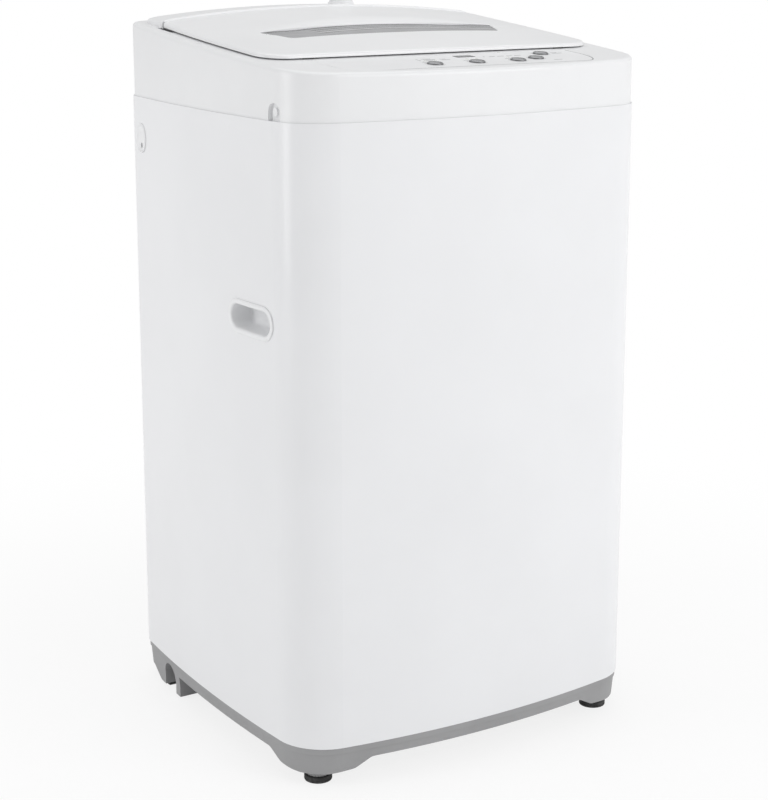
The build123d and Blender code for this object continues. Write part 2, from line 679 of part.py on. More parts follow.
# Service panel
def panel_screw_places():
    """Centres of the panel's screws, inside its lap on the cabinet."""
    inset = PANEL_LAP / 2
    for x in (inset - PANEL_HALF_WIDTH, PANEL_HALF_WIDTH - inset):
        for z in (PANEL_Z + inset, PANEL_Z + PANEL_HEIGHT / 2, PANEL_Z + PANEL_HEIGHT - inset):
            yield x, z


def make_rear_panel():
    top = PANEL_Z + PANEL_HEIGHT
    panel = block(-PANEL_HALF_WIDTH, PANEL_HALF_WIDTH, PANEL_INNER_Y, PANEL_OUTER_Y, PANEL_Z, top)
    pocket_y = PANEL_OUTER_Y - OUTLET_POCKET_DEPTH
    half = OUTLET_POCKET
    wall = PANEL_SHEET
    panel += block(OUTLET_X - half - wall, OUTLET_X + half + wall, pocket_y - wall, PANEL_OUTER_Y,
                   OUTLET_Z - half - wall, OUTLET_Z + half + wall)
    panel -= block(OUTLET_X - half, OUTLET_X + half, pocket_y, CASE_DEPTH, OUTLET_Z - half, OUTLET_Z + half)
    panel -= rod_along_y(OUTLET_RADIUS + OUTLET_SHOULDER + SEAT_GAP, 0, CASE_DEPTH, OUTLET_X, OUTLET_Z)
    for x, z in panel_screw_places():
        panel -= rod_along_y(SCREW_RADIUS + SEAT_GAP, 0, CASE_DEPTH, x, z)
    panel -= rod_along_y(GLAND_RADIUS + SEAT_GAP, 0, CASE_DEPTH, GLAND_X, OUTLET_Z)
    return panel


def make_drain_outlet():
    """Hose spigot in the panel's pocket: a flange behind the pocket, a shoulder through it, then the spigot."""
    pocket_y = PANEL_OUTER_Y - OUTLET_POCKET_DEPTH
    flange_y = pocket_y - PANEL_SHEET
    inner_y = flange_y - 2 * PANEL_SHEET
    shoulder = OUTLET_RADIUS + OUTLET_SHOULDER
    body = rod_along_y(shoulder + 2 * PANEL_SHEET, inner_y, flange_y, OUTLET_X, OUTLET_Z)
    body += rod_along_y(shoulder, flange_y, pocket_y + OUTLET_SHOULDER, OUTLET_X, OUTLET_Z)
    body += rod_along_y(OUTLET_RADIUS, flange_y, PANEL_OUTER_Y - PANEL_SHEET, OUTLET_X, OUTLET_Z)
    return body - rod_along_y(OUTLET_BORE, 0, CASE_DEPTH, OUTLET_X, OUTLET_Z)


def make_cord_gland():
    body = rod_along_y(GLAND_RADIUS, PANEL_INNER_Y - 2 * GLAND_RADIUS, HALF_DEPTH, GLAND_X, OUTLET_Z)
    body += rod_along_y(GLAND_RADIUS + PANEL_SHEET, PANEL_OUTER_Y, HALF_DEPTH, GLAND_X, OUTLET_Z)
    return body - rod_along_y(GLAND_BORE, 0, CASE_DEPTH, GLAND_X, OUTLET_Z)


def pocket_floor():
    """How far out the floor of the frame's screw pocket is."""
    return side_x(POCKET_Y, FRAME_INSET) - POCKET_DEPTH


def make_case_screws():
    screws = []
    for x, z in panel_screw_places():
        head = rod_along_y(SCREW_HEAD_RADIUS, PANEL_OUTER_Y, HALF_DEPTH, x, z)
        screws.append(head + rod_along_y(SCREW_RADIUS, PANEL_OUTER_Y - SCREW_LENGTH, PANEL_OUTER_Y, x, z))
    z = SEAM_Z + POCKET_HEIGHT / 2
    for side in (-1, 1):
        floor = pocket_floor()
        head = rod_along_x(SCREW_HEAD_RADIUS, floor, floor + 2 * SCREW_HEAD, POCKET_Y, z)
        screw = head + rod_along_x(SCREW_RADIUS, floor - SCREW_LENGTH, floor, POCKET_Y, z)
        screws.append(screw if side > 0 else mirror(screw, about=Plane.YZ))
    return Compound(children=[part for screw in screws for part in screw.solids()])


# Top frame
def mouth_plan(grow):
    """Loading mouth in the deck, grown by a wall."""
    middle = (MOUTH_FRONT + MOUTH_REAR) / 2
    depth = MOUTH_REAR - MOUTH_FRONT + 2 * grow
    corner = min(MOUTH_CORNER, depth / 2 - grow - COLLAR_WALL)
    return Pos(0, middle) * RectangleRounded(2 * (MOUTH_HALF_WIDTH + grow), depth, corner + grow)


def lid_half_width(y):
    """Half the lid's width at y."""
    return side_x(y, LID_SIDE_INSET)


def hinge_z():
    """Height of the lid's hinge line."""
    return lid_top(LID_SEAM, 0)[0] - HINGE_DROP


def lid_top(y, drop):
    """Height of the lid's middle at y, lowered by drop, and its crown there."""
    share = (y - LID_FRONT) / (LID_SEAM - LID_FRONT)
    crown = LID_CROWN * (1 - (1 - share) ** 2) + SLIDE_GAP
    return deck_z(y) + LID_EDGE + LID_EDGE_GAIN * share + crown - drop, crown


def make_top_frame():
    envelope = upright(outline(FRAME_INSET), SEAM_Z - FRAME_TONGUE, SEAM_Z + 2 * RIM_RISE) & below_deck(0, 0)
    rim = [edge for edge in envelope.edges() if edge.center().Z > SEAM_Z + RIM_RISE / 2]
    envelope = fillet([edge for edge in rim if abs(edge.tangent_at(0.5).Z) < 0.5], RIM_ROUND)
    hollow = upright(outline(FRAME_INSET + FRAME_WALL), 0, SEAM_Z + 2 * RIM_RISE) & below_deck(DECK, 0)
    frame = envelope - hollow
    room = envelope & below_deck(0, 0)
    frame += upright(mouth_plan(COLLAR_WALL), SEAM_Z - COLLAR_DROP, SEAM_Z + 2 * RIM_RISE) & room
    trough_z = hinge_z() - TROUGH_DEPTH
    trough_half = lid_half_width(HINGE_Y) + 2 * LID_GAP
    trough_front = HINGE_Y - TROUGH_FRONT
    trough_rear = HINGE_Y + math.hypot(HINGE_SETBACK, HINGE_DROP) + LID_GAP
    wall = FRAME_WALL
    frame += block(-trough_half - wall, trough_half + wall, trough_front - wall, trough_rear + wall,
                   trough_z - wall, SEAM_Z + 2 * RIM_RISE) & room
    valve_half = VALVE_WIDTH / 2 + SLIDE_GAP
    valve_deep = VALVE_DEPTH / 2 + SLIDE_GAP
    frame += block(INLET_X - valve_half - wall, INLET_X + valve_half + wall, INLET_Y - valve_deep - wall,
                   INLET_Y + valve_deep + wall, VALVE_Z - wall, SEAM_Z + 2 * RIM_RISE) & room
    backing = block(pocket_floor() - SCREW_LENGTH - wall, CASE_WIDTH, POCKET_Y - POCKET_WIDTH,
                    POCKET_Y + POCKET_WIDTH, SEAM_Z - FRAME_TONGUE, SEAM_Z + POCKET_HEIGHT + wall)
    frame += both_sides(backing) & room
    frame += both_sides(hinge_lug())
    for x, y in board_posts():
        frame += deck_disc(BOARD_POST, BOARD_TOP, -DECK_NORMAL / 2, x, y)
    frame -= upright(mouth_plan(0), 0, SEAM_Z + 2 * RIM_RISE)
    trough = block(-trough_half, trough_half, trough_front, trough_rear, trough_z, SEAM_Z + 3 * RIM_RISE)
    frame -= trough - both_sides(hinge_lug())
    frame -= block(INLET_X - valve_half, INLET_X + valve_half, INLET_Y - valve_deep, INLET_Y + valve_deep,
                   VALVE_Z, SEAM_Z + 3 * RIM_RISE)
    frame -= rod_along_y(SPOUT_RADIUS + SEAT_GAP, MOUTH_REAR - COLLAR_WALL, INLET_Y, INLET_X, SPOUT_Z)
    frame -= both_sides(screw_pocket())
    frame -= both_sides(rod_along_x(HINGE_PIN_RADIUS, 0, CASE_WIDTH, HINGE_Y, hinge_z()) & block(
        HINGE_X - 2 * HINGE_LUG_HALF, HINGE_X + 2 * HINGE_LUG_HALF, 0, CASE_DEPTH, 0, 2 * SEAM_Z))
    frame -= on_deck(0, 0, -OVERLAY_SHEET) * extrude(overlay_plan(SEAT_GAP), 2 * OVERLAY_SHEET)
    for x, y in BUTTON_PLACES.values():
        frame -= deck_disc(BUTTON_RADIUS + SLIDE_GAP, -2 * DECK, DECK, x, y)
    frame -= display_block(SEAT_GAP, -2 * DECK, DECK)
    for x, y in LIGHT_PLACES:
        frame -= deck_disc(LIGHT_RADIUS + SEAT_GAP, -2 * DECK, DECK, x, y)
    return frame


def screw_pocket():
    """Arched pocket and screw hole in the frame's right side."""
    floor = pocket_floor()
    radius = POCKET_WIDTH / 2
    arch_z = SEAM_Z + POCKET_HEIGHT - radius
    pocket = block(floor, CASE_WIDTH, POCKET_Y - radius, POCKET_Y + radius, SEAM_Z, arch_z)
    pocket += rod_along_x(radius, floor, CASE_WIDTH, POCKET_Y, arch_z) & block(
        0, CASE_WIDTH, -CASE_DEPTH, CASE_DEPTH, SEAM_Z, 2 * SEAM_Z)
    screw_z = SEAM_Z + POCKET_HEIGHT / 2
    return pocket + rod_along_x(SCREW_RADIUS + SEAT_GAP, floor - SCREW_LENGTH, floor, POCKET_Y, screw_z)


def hinge_lug():
    """Right arm that carries the hinge pin, reaching back from the deck over the trough."""
    z = hinge_z()
    x0 = HINGE_X - HINGE_LUG_HALF
    x1 = HINGE_X + HINGE_LUG_HALF
    foot = HINGE_Y - TROUGH_FRONT - FRAME_WALL
    arm = polygon([
        (foot, deck_z(foot) - DECK), (foot, deck_z(foot)), (HINGE_Y, z + HINGE_LUG_RADIUS),
        (HINGE_Y, z - HINGE_LUG_RADIUS), (foot + FRAME_WALL, deck_z(foot) - 2 * DECK),
    ])
    return along_x(arm, x0, x1) + rod_along_x(HINGE_LUG_RADIUS, x0, x1, HINGE_Y, z)


def make_hinge_pins():
    reach = HINGE_LUG_HALF + LID_LUG_WIDTH
    return both_sides(rod_along_x(HINGE_PIN_RADIUS, HINGE_X - reach, HINGE_X + reach, HINGE_Y, hinge_z()))


# Lid
def lid_section(y, drop, floor, flatten=0.0):
    """Section of the lid at y: flat floor, upright sides, top arched by its crown less what flattens it."""
    top, crown = lid_top(y, drop)
    crown -= flatten
    half = HALF_WIDTH
    side = top - crown * (half / lid_half_width(LID_SEAM)) ** 2
    bottom = deck_z(y) + floor
    edges = [
        Line((-half, side), (-half, bottom)),
        Line((-half, bottom), (half, bottom)),
        Line((half, bottom), (half, side)),
        ThreePointArc((half, side), (0, top), (-half, side)),
    ]
    return Plane.XZ.offset(-y) * make_face(edges)


def lid_form(drop, floor, tilt=0.0):
    """Space under the lid's crowned top, down to floor above the deck.

    The top is lowered by drop at the window's front edge, and by tilt more for each millimetre behind it.
    """
    steps = 4
    stations = [LID_FRONT + (LID_SEAM - LID_FRONT) * step / steps for step in range(steps + 1)]
    return loft([lid_section(y, drop + tilt * (y - WINDOW_FRONT), floor) for y in stations])


def window_form(drop):
    """Space under the window's top, lowered by drop: nearly flush in front, deeper towards the back."""
    tilt = (WINDOW_REAR_DEPTH - WINDOW_FRONT_DEPTH) / (WINDOW_REAR - WINDOW_FRONT)
    return lid_form(WINDOW_FRONT_DEPTH + drop, UNDER_LID, tilt)


def lid_plan(inset):
    """Plan of the lid, set in: straight front and back, sides bowed with the case."""
    sides = SIDE_RADIUS - LID_SIDE_INSET - inset
    plan = Pos(HALF_WIDTH - SIDE_RADIUS, 0) * Circle(sides)
    plan &= Pos(SIDE_RADIUS - HALF_WIDTH, 0) * Circle(sides)
    depth = LID_SEAM - LID_FRONT - 2 * inset
    plan &= Pos(0, (LID_FRONT + LID_SEAM) / 2) * Rectangle(2 * CASE_WIDTH, depth)
    return fillet(plan.vertices().sort_by(Axis.Y)[:2], LID_CORNER - inset)


def window_plan(grow):
    """Plan of the window: straight front, slanted ends, bowed back."""
    front = WINDOW_FRONT - grow
    half_front = WINDOW_HALF_FRONT + grow / 2
    half_rear = WINDOW_HALF_REAR + grow
    corners = [(-half_front, front), (half_front, front), (half_rear, WINDOW_END_Y + grow / 2)]
    edges = [
        Line(corners[0], corners[1]),
        Line(corners[1], corners[2]),
        ThreePointArc(corners[2], (0, WINDOW_REAR + grow), (-half_rear, WINDOW_END_Y + grow / 2)),
        Line((-half_rear, WINDOW_END_Y + grow / 2), corners[0]),
    ]
    plan = make_face(edges)
    return fillet(plan.vertices().sort_by(Axis.Y)[:2], WINDOW_CORNER)


def column(plan):
    """A plan carried through the whole height of the top."""
    return upright(plan, SEAM_Z - FRAME_TONGUE, SEAM_Z + 3 * RIM_RISE)


def make_lid():
    outer = lid_form(0, LID_GAP) & column(lid_plan(0))
    top = max((face for face in outer.faces() if face.normal_at().Z > 0.7), key=lambda face: face.area)
    outer = fillet(top.edges(), LID_ROUND)
    lid = outer - (lid_form(LID_WALL, UNDER_LID) & column(lid_plan(LID_WALL)))
    seat = lid_form(LID_WALL / 2, UNDER_LID) - window_form(LID_WALL)
    lid += seat & column(window_plan(WINDOW_FLANGE + LID_WALL) + lip_plan(LID_WALL))
    lid -= (window_form(-SEAT_GAP) - window_form(2 * LID_WALL)) & column(window_plan(WINDOW_FLANGE + SEAT_GAP))
    lug_x = HINGE_X + HINGE_LUG_HALF + LID_LUG_WIDTH / 2 + SLIDE_GAP
    for x in (2 * HINGE_X - lug_x, lug_x):
        half = LID_LUG_WIDTH / 2
        lug = rod_along_x(LID_LUG_RADIUS, x - half, x + half, HINGE_Y, hinge_z())
        lug += block(x - half, x + half, HINGE_Y - LID_LUG_RADIUS, HINGE_Y + LID_LUG_RADIUS,
                     hinge_z(), 2 * SEAM_Z)
        lid += both_sides(lug & lid_form(LID_WALL / 2, UNDER_LID))
    lid -= both_sides(rod_along_x(HINGE_PIN_RADIUS + RUNNING_FIT, HINGE_X - LID_LUG_WIDTH - 2 * HINGE_LUG_HALF,
                                  HINGE_X + LID_LUG_WIDTH + 2 * HINGE_LUG_HALF, HINGE_Y, hinge_z()))
    lid -= column(window_plan(0))
    return lid - lip_cut()


def lip_plan(grow):
    """Plan of the lip behind the window, from one of its tips round to the other."""
    tip = (WINDOW_HALF_REAR + grow, WINDOW_END_Y)
    edges = [
        ThreePointArc(tip, (0, WINDOW_REAR + LIP_RUN + grow), (-tip[0], tip[1])),
        Line((-tip[0], tip[1]), tip),
    ]
    return make_face(edges)


def lip_cut():
    """Slope from the lid's top down to the back edge of the window: a shallow cone about the lip's own arc."""
    fall = (WINDOW_REAR_DEPTH - LIP_EDGE) / LIP_RUN
    edge = WINDOW_REAR + LIP_RUN
    rise = edge - WINDOW_END_Y
    middle = edge - (WINDOW_HALF_REAR ** 2 + rise ** 2) / (2 * rise)
    steps = 4
    stations = [LID_FRONT + (LID_SEAM - LID_FRONT) * step / steps for step in range(steps + 1)]
    sections = []
    for y in stations:
        flatten = fall * lid_half_width(LID_SEAM) ** 2 / (2 * (y - middle))
        sections.append(lid_section(y, fall * (edge - y), UNDER_LID, flatten))
    return (lid_form(-LID_ROUND, 0) - loft(sections)) & column(lip_plan(0))


def make_lid_window():
    plate = window_form(0) - window_form(WINDOW_SHEET)
    return plate & column(window_plan(WINDOW_FLANGE))


def make_lid_buffers():
    low = SLIDE_GAP
    high = LID_GAP / SLOPE_LENGTH
    depth = LID_WALL / 2 - SEAT_GAP
    pad = deck_block(BUFFER_LENGTH / 2, depth, low, high, BUFFER_X, LID_FRONT + LID_WALL / 2)
    return both_sides(pad)


# Rear cover, inlet and water path
def hinge_barrel(clearance):
    """Space that the lid's rear edge sweeps about the hinge line."""
    reach = HALF_WIDTH
    crown_side = lid_top(LID_SEAM, 0)[1] * (reach / lid_half_width(LID_SEAM)) ** 2
    middle = math.hypot(HINGE_SETBACK, HINGE_DROP) + clearance
    side = math.hypot(HINGE_SETBACK, max(HINGE_DROP - crown_side, LID_GAP)) + clearance
    edges = [
        Line((-reach, 0), (reach, 0)),
        Line((reach, 0), (reach, side)),
        ThreePointArc((reach, side), (0, middle), (-reach, side)),
        Line((-reach, side), (-reach, 0)),
    ]
    plane = Plane(origin=(0, HINGE_Y, hinge_z()), x_dir=(1, 0, 0), z_dir=(0, -1, 0))
    return revolve(plane * make_face(edges), Axis((0, HINGE_Y, hinge_z()), (1, 0, 0)))


def cover_plan(inset):
    """Plan of the rear cover, set in, with rounded rear corners."""
    front = HINGE_Y
    rear = COVER_REAR - inset
    sides = SIDE_RADIUS - LID_SIDE_INSET - inset
    plan = Pos(HALF_WIDTH - SIDE_RADIUS, 0) * Circle(sides)
    plan &= Pos(SIDE_RADIUS - HALF_WIDTH, 0) * Circle(sides)
    plan &= Pos(0, (front + rear) / 2) * Rectangle(2 * CASE_WIDTH, rear - front)
    return fillet(plan.vertices().sort_by(Axis.Y)[-2:], COVER_CORNER - inset)


def cover_form(drop):
    """Space under the cover's crown, which carries on from the lid's."""
    top, crown = lid_top(LID_SEAM, drop)
    half = HALF_WIDTH
    side = top - crown * (half / lid_half_width(LID_SEAM)) ** 2
    edges = [
        Line((-half, side), (-half, SEAM_Z)),
        Line((-half, SEAM_Z), (half, SEAM_Z)),
        Line((half, SEAM_Z), (half, side)),
        ThreePointArc((half, side), (0, top), (-half, side)),
    ]
    return along_y(make_face(edges), HINGE_Y, HALF_DEPTH)


def make_rear_cover():
    outer = cover_form(0) & column(cover_plan(0))
    top = max((face for face in outer.faces() if face.normal_at().Z > 0.7), key=lambda face: face.area)
    rear_edges = [edge for edge in top.edges() if edge.center().Y > LID_SEAM]
    outer = fillet(rear_edges, LID_ROUND)
    cover = outer - (cover_form(COVER_WALL) & column(cover_plan(COVER_WALL)))
    cover -= hinge_barrel(SEAM_GAP)
    cover -= below_deck(0, 0)
    cover -= block(-CASE_WIDTH, CASE_WIDTH, 0, LID_SEAM + SEAM_GAP, 0, 2 * SEAM_Z)
    cover -= disc(INLET_RADIUS + INLET_SHOULDER + SEAT_GAP, 0, 2 * SEAM_Z, INLET_X, INLET_Y)
    cover -= disc(COVER_HOLE_RADIUS, 0, 2 * SEAM_Z, COVER_HOLE_X, INLET_Y)
    return cover


def make_inlet_valve():
    """Valve block with its inlet: a plain neck through the cover, then the threaded end."""
    top = VALVE_Z + VALVE_HEIGHT
    neck_top = lid_top(LID_SEAM, 0)[0] + INLET_STAND
    end = neck_top + INLET_THREAD
    body = block(INLET_X - VALVE_WIDTH / 2, INLET_X + VALVE_WIDTH / 2, INLET_Y - VALVE_DEPTH / 2,
                 INLET_Y + VALVE_DEPTH / 2, VALVE_Z, top)
    body += disc(INLET_RADIUS + INLET_SHOULDER, top, neck_top, INLET_X, INLET_Y)
    body += disc(INLET_RADIUS, neck_top, end, INLET_X, INLET_Y)
    return body - disc(INLET_BORE, top, end, INLET_X, INLET_Y)


def make_fill_spout():
    front = MOUTH_REAR - COLLAR_WALL
    rear = INLET_Y - VALVE_DEPTH / 2
    tube = rod_along_y(SPOUT_RADIUS, front, rear, INLET_X, SPOUT_Z)
    return tube - rod_along_y(SPOUT_RADIUS - SPOUT_WALL, front, rear, INLET_X, SPOUT_Z)


# Controls
def overlay_plan(grow):
    """Plan of the fascia sheet on the deck: straight front, noses curved round to its sides."""
    def at(x, y):
        return x, y * SLOPE_LENGTH
    half = OVERLAY_HALF + grow
    nose = OVERLAY_NOSE + grow
    front = OVERLAY_FRONT - grow
    rear = OVERLAY_REAR + grow
    turn = front + (half - nose) * NOSE_STRETCH
    bulge_x = nose + (half - nose) * NOSE_BULGE_X
    bulge_y = front + (turn - front) * NOSE_BULGE_Y
    edges = [
        Line(at(-nose, front), at(nose, front)),
        ThreePointArc(at(nose, front), at(bulge_x, bulge_y), at(half, turn)),
        Line(at(half, turn), at(half, rear)),
        Line(at(half, rear), at(-half, rear)),
        Line(at(-half, rear), at(-half, turn)),
        ThreePointArc(at(-half, turn), at(-bulge_x, bulge_y), at(-nose, front)),
    ]
    return make_face(edges)


def display_block(grow, low, high):
    return deck_block(DISPLAY_WIDTH / 2 + grow, DISPLAY_DEPTH / 2 + grow, low, high, DISPLAY_X, DISPLAY_Y)


def make_control_overlay():
    sheet = on_deck(0, 0, -OVERLAY_SHEET) * extrude(overlay_plan(0), OVERLAY_SHEET)
    for x, y in BUTTON_PLACES.values():
        sheet -= deck_disc(BUTTON_RADIUS + SLIDE_GAP, -DECK, DECK, x, y)
    sheet -= display_block(SEAT_GAP, -DECK, DECK)
    for x, y in LIGHT_PLACES:
        sheet -= deck_disc(LIGHT_RADIUS + SEAT_GAP, -DECK, DECK, x, y)
    return sheet


def make_indicator_lights():
    lights = [deck_disc(LIGHT_RADIUS, -DECK_NORMAL, SEAT_GAP, x, y) for x, y in LIGHT_PLACES]
    return Compound(children=[part for light in lights for part in light.solids()])


def make_button(x, y):
    flange_top = -DECK_NORMAL - SLIDE_GAP
    cap = deck_disc(BUTTON_RADIUS, flange_top - BUTTON_FLANGE, BUTTON_RISE, x, y)
    rim = max(cap.edges(), key=lambda edge: edge.center().Z)
    cap = fillet(rim, BUTTON_RISE / 2)
    cap += deck_disc(BUTTON_RADIUS + BUTTON_FLANGE, flange_top - BUTTON_FLANGE, flange_top, x, y)
    return cap + deck_disc(BUTTON_RADIUS / 3, flange_top - 2 * BUTTON_FLANGE, flange_top - BUTTON_FLANGE, x, y)


def board_span():
    """Ends of the board in X and its middle in Y, from the buttons that it serves."""
    xs = [x for x, y in BUTTON_PLACES.values()]
    ys = [y for x, y in BUTTON_PLACES.values()]
    margin = 2 * BUTTON_RADIUS
    return min(xs) - margin, max(xs) + margin, (min(ys) + max(ys)) / 2


def board_posts():
    """Places of the four posts under the deck that the board is fixed to."""
    left, right, middle = board_span()
    for x in (left + BOARD_POST, right - BOARD_POST):
        for y in (middle - BOARD_HALF_DEPTH + BOARD_POST, middle + BOARD_HALF_DEPTH - BOARD_POST):
            yield x, y


def make_control_board():
    left, right, middle = board_span()
    board = deck_block((right - left) / 2, BOARD_HALF_DEPTH, BOARD_TOP - BOARD_SHEET, BOARD_TOP,
                       (left + right) / 2, middle)
    for x, y in BUTTON_PLACES.values():
        board += deck_block(SWITCH_WIDTH / 2, SWITCH_WIDTH / 2, BOARD_TOP, SWITCH_TOP, x, y)
    return board + display_block(0, BOARD_TOP, -DECK_NORMAL)


def make_lid_switch():
    low = -DECK_NORMAL - LID_SWITCH_HEIGHT
    return deck_block(LID_SWITCH_HALF_WIDTH, LID_SWITCH_HALF_DEPTH, low, -DECK_NORMAL,
                      LID_SWITCH_X, LID_SWITCH_Y)


def make_pressure_sensor():
    low = -DECK_NORMAL - SENSOR_HEIGHT
    body = deck_disc(SENSOR_RADIUS, low, -DECK_NORMAL, SENSOR_X, SENSOR_Y)
    nozzle_z = deck_z(SENSOR_Y) - DECK - SENSOR_HEIGHT - SENSOR_NOZZLE
    nozzle_top = nozzle_z + SENSOR_NOZZLE + SENSOR_HEIGHT / 2
    return body + disc(HOSE_RADIUS - HOSE_WALL / 2, nozzle_z, nozzle_top, SENSOR_X, SENSOR_Y)


def make_pressure_hose():
    top = deck_z(SENSOR_Y) - DECK - SENSOR_HEIGHT - SENSOR_NOZZLE
    return ring(HOSE_RADIUS, HOSE_RADIUS - HOSE_WALL, TUB_Z + AIR_BELL_RISE, top, SENSOR_X, SENSOR_Y)


# Tub and its suspension
def rod_places():
    """Places of the four suspension rods."""
    for x in (-ROD_X, ROD_X):
        for y in (-ROD_Y, ROD_Y):
            yield x, y


def make_outer_tub():
    tub = disc(TUB_RADIUS, TUB_Z, TUB_TOP)
    reach = math.hypot(ROD_X, ROD_Y)
    for x, y in rod_places():
        turn = math.degrees(math.atan2(y, x))
        arm = block(TUB_RADIUS - TUB_WALL, reach, -EAR_RADIUS, EAR_RADIUS, EAR_Z, EAR_Z + EAR_THICK)
        tub += Rot(0, 0, turn) * arm + disc(EAR_RADIUS, EAR_Z, EAR_Z + EAR_THICK, x, y)
        tub -= disc(ROD_RADIUS + 2 * SPRING_WIRE, EAR_Z, EAR_Z + EAR_THICK, x, y)
    bell_turn = math.degrees(math.atan2(SENSOR_Y, SENSOR_X))
    bell_reach = math.hypot(SENSOR_X, SENSOR_Y)
    bell = Rot(0, 0, bell_turn) * block(TUB_RADIUS - TUB_WALL, bell_reach + 2 * HOSE_RADIUS, -2 * HOSE_RADIUS,
                                        2 * HOSE_RADIUS, TUB_Z + AIR_BELL_RISE / 2, TUB_Z + AIR_BELL_RISE)
    tub += bell
    tub -= disc(TUB_RADIUS - TUB_WALL, TUB_FLOOR_TOP, TUB_TOP)
    for x, y in tub_boss_places():
        tub += disc(TUB_BOSS_RADIUS, PLATE_TOP, TUB_Z, x, y)
    tub += disc(PUMP_PORT_RADIUS, TUB_Z - SUMP_SPIGOT, TUB_Z, PUMP_X, PUMP_Y)
    tub -= disc(PUMP_PORT_RADIUS - BELLOWS_WALL, TUB_Z - SUMP_SPIGOT, TUB_FLOOR_TOP, PUMP_X, PUMP_Y)
    return tub - disc(SEAL_RADIUS, TUB_Z, TUB_FLOOR_TOP)


def make_tub_ring():
    return ring(TUB_RADIUS, TUB_RADIUS - TUB_RING_LIP, TUB_TOP, TUB_TOP + TUB_RING)


def make_corner_brackets():
    plate = upright(outline(SHEET + SEAT_GAP), BRACKET_Z, BRACKET_Z + BRACKET_SHEET)
    plate -= disc(TUB_RADIUS + TUB_SIDE_GAP, 0, SEAM_Z)
    brackets = []
    for x, y in rod_places():
        x_sign = math.copysign(1, x)
        y_sign = math.copysign(1, y)
        corner = Pos(x_sign * HALF_WIDTH, y_sign * HALF_DEPTH, BRACKET_Z) * Box(
            2 * BRACKET_REACH, 2 * BRACKET_REACH, 4 * BRACKET_SHEET)
        bracket = (plate & corner) - disc(ROD_RADIUS + SEAT_GAP, 0, SEAM_Z, x, y)
        brackets.append(max(bracket.solids(), key=lambda part: part.volume))
    return Compound(children=brackets)


def make_suspension_rods():
    rods = []
    top = BRACKET_Z + BRACKET_SHEET
    for x, y in rod_places():
        rod = disc(ROD_RADIUS, SPRING_Z - ROD_FOOT, top + ROD_HEAD_RADIUS / 2, x, y)
        rod += disc(ROD_FOOT_RADIUS, SPRING_Z - ROD_FOOT, SPRING_Z, x, y)
        head = Pos(x, y, top) * Sphere(ROD_HEAD_RADIUS)
        rod += head & block(-CASE_WIDTH, CASE_WIDTH, -CASE_DEPTH, CASE_DEPTH, top, SEAM_Z)
        rods += rod.solids()
    return Compound(children=rods)


def make_suspension_cups():
    cups = []
    for x, y in rod_places():
        cup = disc(CUP_RADIUS, EAR_Z - CUP_HEIGHT, EAR_Z, x, y)
        cup -= disc(CUP_RADIUS - CUP_WALL, EAR_Z - CUP_HEIGHT, EAR_Z - CUP_WALL, x, y)
        cup -= disc(ROD_RADIUS + SPRING_WIRE, EAR_Z - CUP_HEIGHT, EAR_Z, x, y)
        cups += cup.solids()
    return Compound(children=cups)


def spring_path(x, y):
    """A coil of tilted half circles that meet smoothly, each climbing half the pitch."""
    low = SPRING_Z + SPRING_WIRE + SEAT_GAP
    pitch = (SPRING_LENGTH - 2 * SPRING_WIRE - 2 * SEAT_GAP) / SPRING_TURNS
    arcs = []
    side = 1
    for half_turn in range(2 * SPRING_TURNS):
        start = (x + side * SPRING_RADIUS, y, low + pitch * half_turn / 2)
        end = (x - side * SPRING_RADIUS, y, low + pitch * (half_turn + 1) / 2)
        arcs.append(TangentArc(start, end, tangent=(0, side, 0)))
        side = -side
    return Wire(arcs)


def make_suspension_springs():
    springs = []
    for x, y in rod_places():
        path = spring_path(x, y)
        start = Plane(origin=path @ 0, z_dir=path % 0)
        springs += sweep(start * Circle(SPRING_WIRE), path=path).solids()
    return Compound(children=springs)


# Drive
def tub_boss_places():
    """Places of the bosses between the tub and its drive plate."""
    inset = 2 * TUB_BOSS_RADIUS
    for x in (inset - DRIVE_PLATE_LEFT, MOTOR_X + DRIVE_PLATE_MARGIN - inset):
        for y in (inset - DRIVE_PLATE_HALF_DEPTH, DRIVE_PLATE_HALF_DEPTH - inset):
            yield x, y


def motor_bolt_places():
    """Places of the motor's four bolts."""
    for turn in (45, 135, 225, 315):
        angle = math.radians(turn)
        yield MOTOR_X + MOTOR_BOLT_CIRCLE * math.cos(angle), MOTOR_BOLT_CIRCLE * math.sin(angle)


def make_drive_plate():
    plate = block(-DRIVE_PLATE_LEFT, MOTOR_X + DRIVE_PLATE_MARGIN, -DRIVE_PLATE_HALF_DEPTH,
                  DRIVE_PLATE_HALF_DEPTH, PLATE_Z, PLATE_TOP)
    plate = fillet(plate.edges().filter_by(Axis.Z), 2 * TUB_BOSS_RADIUS)
    plate -= disc(NECK_RADIUS + SEAT_GAP, PLATE_Z, PLATE_TOP)
    for x, y in motor_bolt_places():
        plate -= disc(SCREW_RADIUS + SEAT_GAP, PLATE_Z, PLATE_TOP, x, y)
    return plate


